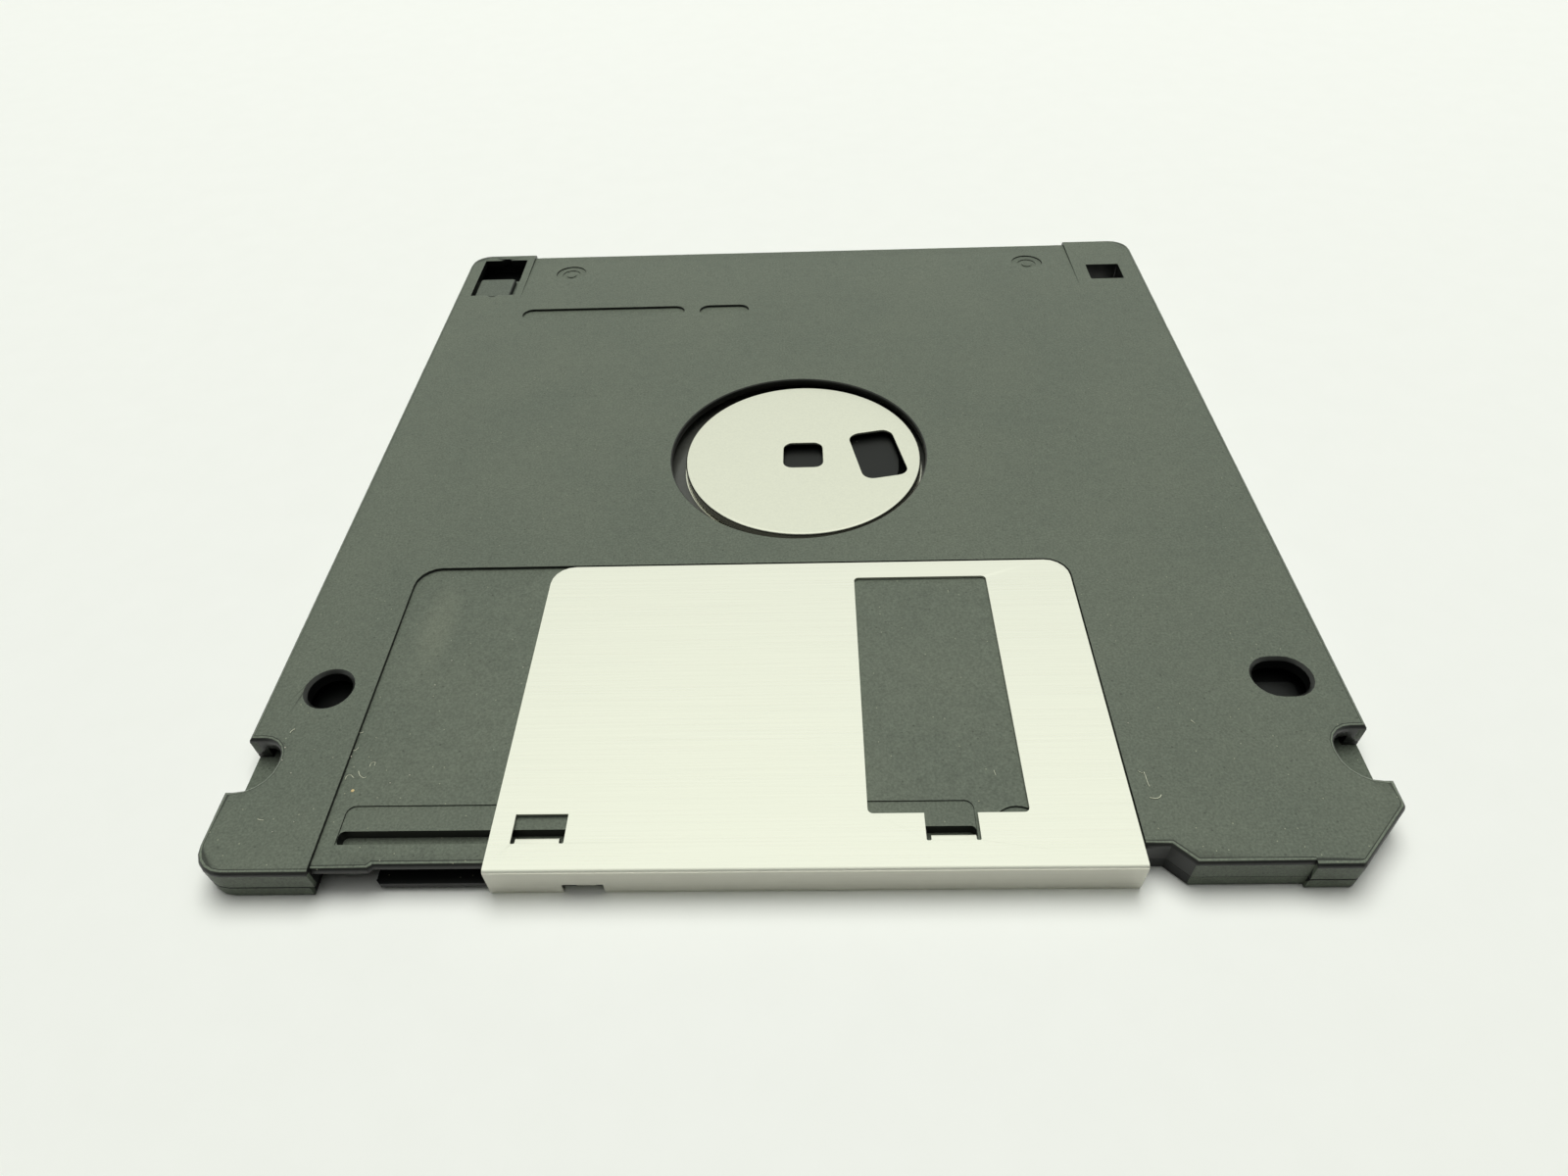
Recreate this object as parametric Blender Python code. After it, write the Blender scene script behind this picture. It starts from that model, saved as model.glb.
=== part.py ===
"""A 3.5 inch floppy disk cartridge, lying on its label side with the hub side up.

Two moulded half shells hold two fabric liners, a coated film disk on a stamped steel hub, a lifter,
a write-protect slide, and a spring that keeps the bent sheet-metal shutter closed.

+Z is up through the hub side, -Y is the shutter edge, and the origin is under the middle of the case.
Every size below is in millimetres. SCALE turns it into Blender's metres.
"""

import math

import bmesh
import bpy
from mathutils import Matrix, Vector

SCALE = 0.001
OVER = 1.0
ARC_STEP = math.radians(18)
TURN_STEPS = 96
HOLE_STEPS = 28
SHARP_ANGLE = math.radians(30)

# Case: the outside of the two closed shells.
CASE_WIDTH = 90.0
CASE_LENGTH = 94.0
CASE_THICKNESS = 3.3
CASE_CORNER = 2.5
CUT_CORNER = 4.8
CUT_CORNER_EASE = 0.5
CASE_FILLET = 0.45
LABEL_SIDE_FILLET = 0.15
SEAM_HEIGHT = 1.25
SEAM_CHAMFER = 0.06
SEAM_GAP = 0.03
FACE_WALL = 0.8
SIDE_WALL = 1.2
BACK_WALL = 1.0
RIB = 0.8

# Reference points of the drive: the spindle, the locating holes and the sensor holes.
HUB_BEHIND_MIDDLE = 1.5
LOCATING_FROM_FRONT = 17.2
SENSOR_FROM_BACK = 8.6
REFERENCE_FROM_SIDE = 5.0

# Disk: the coated film, its hub and the glue between them.
DISK_FROM_SIDE = 2.1
DISK_FROM_BACK = 2.6
DISK_THICKNESS = 0.08
DISK_SHIFT = 0.5
DISK_SHIFT_BACK = 0.1
DISK_BORE_CLEARANCE = 0.15
HUB_FACE_RADIUS = 12.5
HUB_FLANGE_WIDTH = 2.1
HUB_SHEET = 0.3
HUB_RISE = 1.75
HUB_EDGE = 0.28
HUB_FLOOR_GAP = 0.25
HUB_SQUARE = 4.15
HUB_SQUARE_CORNER = 0.9
DRIVE_HOLE_WIDTH = 4.75
DRIVE_HOLE_LENGTH = 7.8
DRIVE_HOLE_CORNER = 1.1
DRIVE_HOLE_RADIUS = 7.95
DRIVE_HOLE_TURN = math.radians(11)
HUB_HOLE_CHAMFER = 0.08
GLUE_THICKNESS = 0.05
GLUE_INSET = 0.2
LAYER_GAP = 0.02

# Round room for the disk, and the hole and plateau for the hub.
DISK_ROOM_CLEARANCE = 0.3
ROOM_RIB = 0.7
HUB_WINDOW_CLEARANCE = 0.95
HUB_WINDOW_CHAMFER = 0.12
PLATEAU_CLEARANCE = 1.5
PLATEAU_GAP = 0.6

# Liners, and the lifter that presses one of them on the disk beside the head window.
LINER_THICKNESS = 0.2
LINER_RIM_GAP = 0.6
LINER_WINDOW_MARGIN = 0.6
HUB_LINER_MARGIN = 0.7
LABEL_LINER_MARGIN = 0.3
LIFTER_FROM_RIM = 5.9
LIFTER_WIDTH = 8.0
LIFTER_BASE = 3.0
LIFTER_TONGUE = 1.5
LIFTER_TIP_DROP = 0.06
LIFTER_FILM = 0.12
LIFTER_RISE = 0.22
LIFTER_FROM_WINDOW = 3.5
LIFTER_FROM_HUB = 19.5
LIFTER_ROOM = 1.2

# Head window.
WINDOW_WIDTH = 9.0
WINDOW_FROM_RIM = 0.1
WINDOW_FROM_HUB_HOLE = 5.55
WINDOW_CORNER = 0.4

# Locating holes in the hub-side shell: one round, one oblong.
LOCATING_DIAMETER = 3.75
LOCATING_OBLONG = 0.9
LOCATING_CHAMFER = 0.28
LOCATING_BOSS = 0.8
LOCATING_STOP_HEIGHT = 0.5
LOCATING_STOP_EASE = 0.2
LOCATING_STOP_RIGHT = 2.1
LOCATING_STOP_BACK = 1.15
RIM_DROP = 0.45

# Grip notches, one in each long side, open down to the lower shell's floor.
GRIP_DEPTH = 3.2
GRIP_WIDTH = 4.85
GRIP_FROM_FRONT = 9.58
GRIP_CORNER = 1.9
GRIP_FRONT_CORNER = 2.5
GRIP_FILLET = 0.42

# Shutter: one sheet folded round the front edge.
SHUTTER_SHEET = 0.22
SHUTTER_FROM_SIDE = 8.95
SHUTTER_BEHIND_WINDOW = 2.0
SHUTTER_CORNER = 2.1
SHUTTER_BEND = 0.34
SHUTTER_TRAVEL = 12.4
SHUTTER_PLAY = 0.15
SHUTTER_UNDER = 0.05
SHUTTER_WINDOW_WIDTH = 12.1
SHUTTER_WINDOW_FROM_RIGHT = 7.75
SHUTTER_WINDOW_OFFSET = 0.3
SHUTTER_WINDOW_MARGIN = 1.1
RECESS_DEPTH = 0.3
RECESS_SLACK = 0.5

# Guide tabs bent down from the shutter into a groove of the hub-side shell.
TAB_WIDTH = 3.3
TAB_HOLE_WIDTH = 4.0
TAB_HOLE_LENGTH = 2.2
TAB_RELIEF = 0.3
TAB_DROP = 0.55
TAB_FROM_FRONT = 2.6
LEFT_TAB_FROM_LEFT = 3.65
RIGHT_TAB_FROM_RIGHT = 13.65
GROOVE_WIDTH = 1.2
GROOVE_BEFORE_TAB = 0.1
GROOVE_DEPTH = 1.1
GROOVE_SLACK = 1.25
GROOVE_CORNER = 0.4
RAIL_DEPTH = 0.12
RAIL_WIDTH = 3.35
RAIL_MARGIN = 0.02
RAIL_CORNER = 0.7

# Front edge of the shells: lips under the shutter and the bay where a drive's lever meets it.
LIP_SETBACK = 0.78
LIP_STEP = 0.31
LIP_FILLET = 0.42
LIP_START_LENGTH = 4.25
LIP_BOTTOM = 2.4
LABEL_LIP_SETBACK = 0.4
LABEL_LIP_TOP = 0.95
LABEL_LIP_WIDTH = 0.35
LABEL_BLOCK_SETBACK = 0.45
BAY_DEPTH = 1.77
BAY_UNDER_SHUTTER = 3.0
BAY_BESIDE_SHUTTER = 3.33
RIGHT_BLOCK = 3.4
RIGHT_SETBACK = 0.29
LEVER_GAP_DEPTH = 2.6

# Spring slot of the shutter's front, its inner tab, and the channel that the tab runs in.
SPRING_SLOT_WIDTH = 3.1
SPRING_SLOT_FROM_LEFT = 5.5
SPRING_SLOT_REACH = 0.65
SPRING_SLOT_EAR = 0.08
SPRING_TAB_HEIGHT = 1.25
SPRING_TAB_FALL = 0.3
SPRING_TAB_LENGTH = 1.3
SPRING_TAB_FROM_SLOT = 1.25
SPRING_TAB_WIDTH = 1.25
CHANNEL_DEPTH = 2.3
CHANNEL_END_ROOM = 1.2

# Torsion spring of round wire, lying flat in the corner beside the disk.
SPRING_WIRE = 0.35
SPRING_COIL_RADIUS = 1.75
SPRING_TURNS = 2
SPRING_PITCH = 0.37
SPRING_BACK = 5.9
SPRING_END_FROM_WALL = 0.5
SPRING_END_FROM_FRONT = 5.0
SPRING_SEAT_GAP = 0.03
SPRING_HOOK = 0.9
SPRING_COIL_STEPS = 18
GROOVE_WALL = 0.35
GROOVE_ROOF = 0.3

# Write-protect slide and its well.
SENSOR_HOLE_WIDTH = 4.25
DENSITY_HOLE_SHIFT = 0.25
SENSOR_HOLE_LENGTH = 3.75
SLIDE_OPENING_WIDTH = 5.8
SLIDE_LENGTH = 4.7
SLIDE_WIDTH = 4.7
SLIDE_TOP_GAP = 0.3
SLIDE_END_GAP = 0.15
SLIDE_TRAVEL = 4.4
SLIDE_FOOT_MARGIN = 0.85
SLIDE_SHORT_FOOT = 0.4
SLIDE_FOOT_GAP = 0.12
SLIDE_EASE = 0.3
SLIDE_OFFSET = 0.25
SLIDE_OPENING_OFFSET = 0.2
SLIDE_OPENING_BEFORE = 0.55
SLIDE_BITE = 0.8
SLIDE_BITE_INSET = 0.35

# Label: a shallow field on the label side that goes round the back edge.
LABEL_FROM_SIDE = 8.65
LABEL_LENGTH = 55.0
LABEL_DEPTH = 0.25
LABEL_CORNER = 1.5
LABEL_FOLD_DEPTH = 0.3
LABEL_FOLD_LENGTH = 12.6
LABEL_BACK_DEPTH = 0.25

# Moulded marks of the hub side: two code fields and round ejector marks.
CODE_FIELD_DEPTH = 0.3
CODE_FIELD_HEIGHT = 2.5
CODE_FIELD_FROM_BACK = 16.15
LONG_FIELD_LENGTH = 20.8
LONG_FIELD_FROM_LEFT = 9.8
SHORT_FIELD_LENGTH = 6.3
CODE_FIELD_SPACE = 1.9
EJECTOR_DEPTH = 0.2
EJECTOR_RADIUS = 2.0
EJECTOR_RING_OUTER = 1.2
EJECTOR_RING_INNER = 0.65
EJECTOR_RING_DEPTH = 0.1
EJECTOR_FROM_SIDE = 14.35
EJECTOR_FROM_BACK = 5.4
FRONT_EJECTOR_FROM_FRONT = 3.3
FRONT_EJECTOR_X = 16.3

# Weld pins that close the shells at the corners.
PIN_RADIUS = 0.8
PIN_CLEARANCE = 0.05
PIN_BOSS_WALL = 0.8
PIN_TOP_GAP = 0.15
PIN_FROM_SIDE = 5.7
PIN_FROM_LOCATING = 6.4

# Ground between the corner rooms that stays solid.
SIDE_LAND = 17.0
BACK_LAND = 18.0
FRONT_LAND_INSET = 5.1

# Places that follow from the sizes above.
FRONT = -CASE_LENGTH / 2
BACK = CASE_LENGTH / 2
LEFT = -CASE_WIDTH / 2
RIGHT = CASE_WIDTH / 2
TOP = CASE_THICKNESS
SEAM = SEAM_HEIGHT
SEAM_LOW = SEAM - SEAM_GAP / 2
SEAM_HIGH = SEAM + SEAM_GAP / 2
FLOOR = FACE_WALL
ROOF = TOP - FACE_WALL
HUB_Y = HUB_BEHIND_MIDDLE
LOCATING_Y = FRONT + LOCATING_FROM_FRONT
SENSOR_Y = BACK - SENSOR_FROM_BACK
REFERENCE_X = RIGHT - REFERENCE_FROM_SIDE
DENSITY_X = REFERENCE_X + DENSITY_HOLE_SHIFT
DISK_RADIUS = min(RIGHT - DISK_FROM_SIDE, BACK - HUB_Y - DISK_FROM_BACK)
ROOM_RADIUS = DISK_RADIUS + DISK_SHIFT + DISK_ROOM_CLEARANCE
RIB_RADIUS = ROOM_RADIUS + ROOM_RIB
HUB_FLANGE_RADIUS = HUB_FACE_RADIUS + HUB_FLANGE_WIDTH
HUB_WINDOW_RADIUS = HUB_FACE_RADIUS + HUB_WINDOW_CLEARANCE
WINDOW_FRONT = HUB_Y - DISK_RADIUS + WINDOW_FROM_RIM
WINDOW_BACK = HUB_Y - HUB_WINDOW_RADIUS - WINDOW_FROM_HUB_HOLE

SHUTTER_TOP = TOP - RECESS_DEPTH + SHUTTER_UNDER + SHUTTER_SHEET
SHUTTER_LOW = RECESS_DEPTH - SHUTTER_UNDER - SHUTTER_SHEET
RECESS_LEFT = LEFT + SHUTTER_FROM_SIDE
SHUTTER_LEFT = RECESS_LEFT + RECESS_SLACK + SHUTTER_TRAVEL
SHUTTER_RIGHT = WINDOW_WIDTH / 2 + SHUTTER_TRAVEL + SHUTTER_WINDOW_FROM_RIGHT + SHUTTER_WINDOW_OFFSET
SHUTTER_BACK = WINDOW_BACK + SHUTTER_BEHIND_WINDOW
RECESS_RIGHT = SHUTTER_RIGHT + SHUTTER_PLAY
BAY_RIGHT = RECESS_RIGHT + BAY_BESIDE_SHUTTER
BLOCK_LEFT = RIGHT - CUT_CORNER - RIGHT_BLOCK
RECESS_BACK = SHUTTER_BACK + SHUTTER_PLAY
RECESS_TOP = TOP - RECESS_DEPTH
RAIL_TOP = RECESS_TOP - RAIL_DEPTH
LIP_FRONT = FRONT + LIP_SETBACK
LIP_START_FRONT = LIP_FRONT - LIP_STEP
GROOVE_FRONT = FRONT + TAB_FROM_FRONT - GROOVE_BEFORE_TAB
GROOVE_BACK = GROOVE_FRONT + GROOVE_WIDTH
GROOVE_FLOOR = RECESS_TOP - GROOVE_DEPTH
LEFT_TAB_X = SHUTTER_LEFT + LEFT_TAB_FROM_LEFT
RIGHT_TAB_X = SHUTTER_RIGHT - RIGHT_TAB_FROM_RIGHT
GROOVE_LEFT = LEFT_TAB_X - TAB_WIDTH / 2 - SHUTTER_TRAVEL - GROOVE_SLACK
GROOVE_RIGHT = RIGHT_TAB_X + TAB_WIDTH / 2 + SHUTTER_PLAY
GAP_RIGHT = RECESS_LEFT + LIP_START_LENGTH
CHANNEL_RIGHT = SHUTTER_LEFT + SPRING_SLOT_FROM_LEFT + SPRING_SLOT_WIDTH + CHANNEL_END_ROOM
SPRING_TAB_TOP = SPRING_TAB_HEIGHT + SHUTTER_SHEET
RIM_LOW = ROOF - RIM_DROP
LABEL_LIP_FRONT = FRONT + LABEL_LIP_SETBACK
BLOCK_RIGHT = RECESS_LEFT - LABEL_BLOCK_SETBACK
AXIS = (DISK_SHIFT, HUB_Y + DISK_SHIFT_BACK)
HUB_LOW = FLOOR + HUB_FLOOR_GAP
PLATEAU_RADIUS = HUB_FACE_RADIUS - HUB_SHEET - PLATEAU_CLEARANCE
PLATEAU_TOP = HUB_LOW + HUB_RISE - HUB_SHEET - PLATEAU_GAP
SLIDE_X = -REFERENCE_X - SLIDE_OPENING_OFFSET - SLIDE_OFFSET
SLIDE_OPENING_X = -REFERENCE_X - SLIDE_OPENING_OFFSET
SLIDE_OPENING_FRONT = SENSOR_Y - SENSOR_HOLE_LENGTH / 2 - SLIDE_OPENING_BEFORE
SLIDE_FRONT = SLIDE_OPENING_FRONT + SLIDE_END_GAP
SLIDE_OPENING_BACK = SLIDE_FRONT + SLIDE_LENGTH + SLIDE_TRAVEL + SLIDE_END_GAP


def metres(*values):
    """A point given in millimetres as a vector in metres."""
    return Vector(values) * SCALE


def arc(centre, radius, start, turn):
    """Points along an arc, both ends included."""
    steps = max(2, math.ceil(abs(turn) / ARC_STEP - 0.01))
    return [
        (
            centre[0] + radius * math.cos(start + turn * step / steps),
            centre[1] + radius * math.sin(start + turn * step / steps),
        )
        for step in range(steps + 1)
    ]


def rounded(corners, closed=True):
    """An outline through corners (x, y, radius), each rounded by its radius."""
    outline = []
    for index, (x, y, radius) in enumerate(corners):
        here = Vector((x, y))
        at_end = not closed and index in (0, len(corners) - 1)
        if radius == 0 or at_end:
            outline.append((x, y))
            continue
        back = (Vector(corners[index - 1][:2]) - here).normalized()
        ahead = (Vector(corners[(index + 1) % len(corners)][:2]) - here).normalized()
        half = back.angle(ahead) / 2
        centre = here + (back + ahead).normalized() * radius / math.sin(half)
        first = here + back * radius / math.tan(half) - centre
        last = here + ahead * radius / math.tan(half) - centre
        start = math.atan2(first.y, first.x)
        turn = math.atan2(first.x * last.y - first.y * last.x, first.dot(last))
        outline += arc(centre, radius, start, turn)
    return outline


def rectangle(left, right, front, back, radius=0.0):
    """A rectangle as an outline, with rounded corners where a radius is given."""
    return rounded([(left, front, radius), (right, front, radius), (right, back, radius), (left, back, radius)])


def rectangle_at(x, y, width, length, radius=0.0, grow=0.0):
    """A rectangle about its centre, grown outwards on every side."""
    reach_x = width / 2 + grow
    reach_y = length / 2 + grow
    return rectangle(x - reach_x, x + reach_x, y - reach_y, y + reach_y, radius + grow if radius else 0.0)


def circle(x, y, radius, steps=HOLE_STEPS):
    """A full circle as an outline."""
    turn = 2 * math.pi / steps
    return [(x + radius * math.cos(turn * step), y + radius * math.sin(turn * step)) for step in range(steps)]


def pill(x, y, stretch, radius):
    """An oblong with round ends, whose end centres lie stretch to the left and right of its centre."""
    right = arc((x + stretch, y), radius, -math.pi / 2, math.pi)
    left = arc((x - stretch, y), radius, math.pi / 2, math.pi)
    return right + left


def make_object(name, builder, finish=None):
    """A smooth mesh object with sharp creases. Without a finish it is a cutter, which no render shows."""
    bmesh.ops.recalc_face_normals(builder, faces=builder.faces)
    mesh = bpy.data.meshes.new(name)
    builder.to_mesh(mesh)
    builder.free()
    mesh.shade_smooth()
    mesh.set_sharp_from_angle(angle=SHARP_ANGLE)
    result = bpy.data.objects.new(name, mesh)
    bpy.context.scene.collection.objects.link(result)
    if finish:
        mesh.materials.append(finish)
    else:
        result.hide_render = True
        result.display_type = "WIRE"
    return result


def loft(name, levels, finish=None):
    """Outlines with equal counts of points, each at its height, joined into one closed body."""
    builder = bmesh.new()
    rings = [[builder.verts.new(metres(x, y, height)) for x, y in outline] for outline, height in levels]
    for lower, upper in zip(rings, rings[1:]):
        for index in range(len(lower)):
            builder.faces.new([lower[index - 1], lower[index], upper[index], upper[index - 1]])
    builder.faces.new(rings[0])
    builder.faces.new(rings[-1])
    return make_object(name, builder, finish)


def prism(name, outline, low, high, finish=None):
    """An outline raised from low to high."""
    return loft(name, [(outline, low), (outline, high)], finish)


def turned(name, profile, centre=(0.0, 0.0), finish=None, steps=TURN_STEPS):
    """A closed profile of (radius, height) points turned about an upright axis."""
    builder = bmesh.new()
    points = [builder.verts.new(metres(radius, 0, height)) for radius, height in profile]
    edges = [builder.edges.new((points[index - 1], points[index])) for index in range(len(points))]
    bmesh.ops.spin(
        builder,
        geom=points + edges,
        cent=(0, 0, 0),
        axis=(0, 0, 1),
        angle=2 * math.pi,
        steps=steps,
        use_merge=True,
    )
    bmesh.ops.remove_doubles(builder, verts=builder.verts, dist=1e-8)
    bmesh.ops.dissolve_degenerate(builder, dist=1e-8, edges=builder.edges)
    bmesh.ops.translate(builder, vec=metres(centre[0], centre[1], 0), verts=builder.verts)
    return make_object(name, builder, finish)


def bar(name, section, start, end, along="X", finish=None):
    """A section drawn out along X, as (y, z) points, or along Y, as (x, z) points."""
    builder = bmesh.new()
    rings = []
    for place in (start, end):
        if along == "X":
            rings.append([builder.verts.new(metres(place, across, height)) for across, height in section])
        else:
            rings.append([builder.verts.new(metres(across, place, height)) for across, height in section])
    for index in range(len(section)):
        builder.faces.new([rings[0][index - 1], rings[0][index], rings[1][index], rings[1][index - 1]])
    builder.faces.new(rings[0])
    builder.faces.new(rings[1])
    return make_object(name, builder, finish)


def edge_round(name, path, level, radius, up):
    """Cutter that rounds an edge. The path has the material on its left; up is 1 on an upper face, -1 below."""
    quarter = [math.radians(angle) for angle in (0, 30, 60, 90)]
    section = [(radius, OVER)]
    section += [(radius - radius * math.sin(angle), radius * math.cos(angle) - radius) for angle in quarter]
    section += [(-OVER, -radius), (-OVER, OVER)]
    points = [Vector(point) for point in path]
    builder = bmesh.new()
    rings = []
    for index, point in enumerate(points):
        after = points[min(index + 1, len(points) - 1)] - point
        before = point - points[max(index - 1, 0)]
        after = (after if after.length else before).normalized()
        before = (before if before.length else after).normalized()
        mean = (before + after).normalized()
        inward = Vector((-mean.y, mean.x)) / mean.dot(after)
        places = [(point + inward * across, level + up * height) for across, height in section]
        rings.append([builder.verts.new(metres(place.x, place.y, height)) for place, height in places])
    for first, second in zip(rings, rings[1:]):
        for index in range(len(section)):
            builder.faces.new([first[index - 1], first[index], second[index], second[index - 1]])
    builder.faces.new(rings[0])
    builder.faces.new(rings[-1])
    return make_object(name, builder)


def combine(target, tools, operation):
    """Gives the target one Boolean for each tool."""
    for tool in tools:
        modifier = target.modifiers.new(tool.name, "BOOLEAN")
        modifier.operation = operation
        modifier.object = tool
        modifier.solver = "EXACT"


def cut(target, *tools):
    combine(target, tools, "DIFFERENCE")


def join(target, *tools):
    combine(target, tools, "UNION")


def move_origin(target, x, y, z=0.0):
    """Puts the object's origin on its joint axis and leaves the shape where it is."""
    shift = metres(x, y, z)
    target.data.transform(Matrix.Translation(-shift))
    target.location = shift


def material(name, colour, roughness, metallic=0.0):
    """A Principled material."""
    finish = bpy.data.materials.new(name)
    finish.use_nodes = True
    shader = finish.node_tree.nodes["Principled BSDF"]
    shader.inputs["Base Color"].default_value = (*colour, 1.0)
    shader.inputs["Roughness"].default_value = roughness
    shader.inputs["Metallic"].default_value = metallic
    finish.diffuse_color = (*colour, 1.0)
    return finish


def case_blank(name, low, high, fillet, fillet_up, finish):
    """Half of the closed case as a solid: the outer edge is rounded and the seam edge has a fine chamfer."""

    def outline(inset):
        cut_reach = CUT_CORNER - inset * (2 - math.sqrt(2))
        return rounded(
            [
                (LEFT + inset, FRONT + inset, CASE_CORNER - inset),
                (RIGHT - inset - cut_reach, FRONT + inset, CUT_CORNER_EASE),
                (RIGHT - inset, FRONT + inset + cut_reach, CUT_CORNER_EASE),
                (RIGHT - inset, BACK - inset, CASE_CORNER - inset),
                (LEFT + inset, BACK - inset, CASE_CORNER - inset),
            ]
        )

    outer, seam = (high, low) if fillet_up else (low, high)
    side = 1 if fillet_up else -1
    levels = [(outline(SEAM_CHAMFER), seam), (outline(0.0), seam + side * SEAM_CHAMFER)]
    for angle in (math.radians(degrees) for degrees in (0, 30, 60, 90)):
        inset = fillet * (1 - math.cos(angle))
        levels.append((outline(inset), outer - side * fillet * (1 - math.sin(angle))))
    return loft(name, levels, finish)


def front_path(upper):
    """A shell's front edge from the left block to the right one, with the material on the left."""
    lip = LIP_FRONT if upper else LABEL_LIP_FRONT
    if upper:
        start = [
            (RECESS_LEFT, LIP_START_FRONT),
            (RECESS_LEFT + LIP_START_LENGTH, LIP_START_FRONT),
            (RECESS_LEFT + LIP_START_LENGTH + LIP_STEP, LIP_FRONT),
        ]
    else:
        start = [(BLOCK_RIGHT, LABEL_LIP_FRONT)]
    return start + [
        (RECESS_RIGHT - BAY_UNDER_SHUTTER, lip),
        (RECESS_RIGHT - BAY_UNDER_SHUTTER + FRONT + BAY_DEPTH - lip, FRONT + BAY_DEPTH),
        (RECESS_RIGHT, FRONT + BAY_DEPTH),
        (BAY_RIGHT - BAY_DEPTH + RIGHT_SETBACK, FRONT + BAY_DEPTH),
        (BAY_RIGHT, FRONT + RIGHT_SETBACK),
        (BLOCK_LEFT, FRONT + RIGHT_SETBACK),
    ]


def cut_front(shell, side, upper):
    """Sets the front edge back for the shutter and the opening lever, and rounds the new edges."""
    path = front_path(upper)
    ends = [(path[-1][0], FRONT - OVER), (path[0][0], FRONT - OVER)]
    cut(shell, prism(side + "_front_cutter", path + ends, -OVER, TOP + OVER))
    if upper:
        cut(shell, edge_round(side + "_lip_round", path[:-3], RECESS_TOP, LIP_FILLET, 1))
        cut(shell, edge_round(side + "_bay_round", path[-4:], TOP, CASE_FILLET, 1))
    else:
        cut(shell, edge_round(side + "_lip_round", path[:-3], RECESS_DEPTH, LABEL_SIDE_FILLET, -1))
        cut(shell, edge_round(side + "_bay_round", path[-4:], 0.0, LABEL_SIDE_FILLET, -1))


def shutter_recess(name, low, high):
    """Room for one leaf of the shutter over its whole travel."""
    corners = [
        (RECESS_LEFT, FRONT - OVER, 0),
        (RECESS_RIGHT, FRONT - OVER, 0),
        (RECESS_RIGHT, RECESS_BACK, SHUTTER_CORNER + SHUTTER_PLAY),
        (RECESS_LEFT, RECESS_BACK, SHUTTER_CORNER + SHUTTER_PLAY),
    ]
    return prism(name, rounded(corners), low, high)


def grip_outline(side, grow=0.0):
    """Grip notch of one long side: 1 is the right side, -1 the left. It runs from the back corner inwards."""
    centre = FRONT + GRIP_FROM_FRONT
    inner = side * (RIGHT - GRIP_DEPTH - grow)
    outer = side * (RIGHT + OVER)
    back = centre + GRIP_WIDTH / 2 + grow
    front = centre - GRIP_WIDTH / 2 - grow
    return rounded(
        [(outer, back, 0), (inner, back, GRIP_CORNER), (inner, front, GRIP_FRONT_CORNER), (outer, front, 0)],
        closed=False,
    )


def grip_path(side):
    """The notch's edge with the material on its left."""
    path = grip_outline(side)
    return path if side < 0 else path[::-1]


def corner_rooms(side, low, high, islands):
    """The hollow corners between the round room and the outer walls, less the solid islands in them."""
    pocket_front = GROOVE_BACK + GROOVE_WALL
    block_inner = RECESS_LEFT - ROOM_RIB
    right_start = BAY_RIGHT + SIDE_WALL
    slant = RIGHT - CUT_CORNER - FRONT - SIDE_WALL * math.sqrt(2)
    right_front = FRONT + RIGHT_SETBACK + SIDE_WALL
    room = prism(
        side + "_corner_rooms",
        rounded(
            [
                (LEFT + SIDE_WALL, FRONT + SIDE_WALL, CASE_CORNER - SIDE_WALL),
                (block_inner, FRONT + SIDE_WALL, 0),
                (block_inner, pocket_front, 0),
                (right_start, pocket_front, 0),
                (right_start, right_front, 0),
                (right_front + slant, right_front, 0),
                (RIGHT - SIDE_WALL, RIGHT - SIDE_WALL - slant, 0),
                (RIGHT - SIDE_WALL, BACK - BACK_WALL, CASE_CORNER - SIDE_WALL),
                (LEFT + SIDE_WALL, BACK - BACK_WALL, CASE_CORNER - SIDE_WALL),
            ]
        ),
        low,
        high,
    )
    lands = [
        prism(side + "_rib_land", circle(0, HUB_Y, RIB_RADIUS, TURN_STEPS), -OVER, TOP + OVER),
        prism(
            side + "_front_land",
            rectangle(CHANNEL_RIGHT, RECESS_RIGHT - FRONT_LAND_INSET, FRONT, HUB_Y),
            -OVER,
            TOP + OVER,
        ),
        prism(
            side + "_side_land",
            rectangle(LEFT, RIGHT, HUB_Y - SIDE_LAND, HUB_Y + SIDE_LAND),
            -OVER,
            TOP + OVER,
        ),
        prism(side + "_back_land", rectangle(-BACK_LAND, BACK_LAND, HUB_Y, BACK), -OVER, TOP + OVER),
    ]
    cut(room, *lands, *islands)
    return room


def shared_islands(side):
    """What stays solid in the corners of both shells: walls round the sensor hole and the slide."""
    well = slide_well_outline(RIB)
    return [
        prism(
            side + "_sensor_land",
            rectangle_at(DENSITY_X, SENSOR_Y, SENSOR_HOLE_WIDTH, SENSOR_HOLE_LENGTH, 0, RIB),
            -OVER,
            TOP + OVER,
        ),
        prism(side + "_slide_land", well, -OVER, TOP + OVER),
    ]


def slide_well_outline(grow=0.0):
    """The well that the write-protect slide runs in."""
    half = SLIDE_WIDTH / 2 + SLIDE_FOOT_MARGIN + SLIDE_FOOT_GAP
    return rectangle(
        max(SLIDE_X - half, LEFT + SIDE_WALL) - grow,
        SLIDE_X + half + grow,
        SLIDE_FRONT - SLIDE_FOOT_MARGIN + SLIDE_SHORT_FOOT - SLIDE_FOOT_GAP - grow,
        BACK - BACK_WALL,
    )


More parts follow.
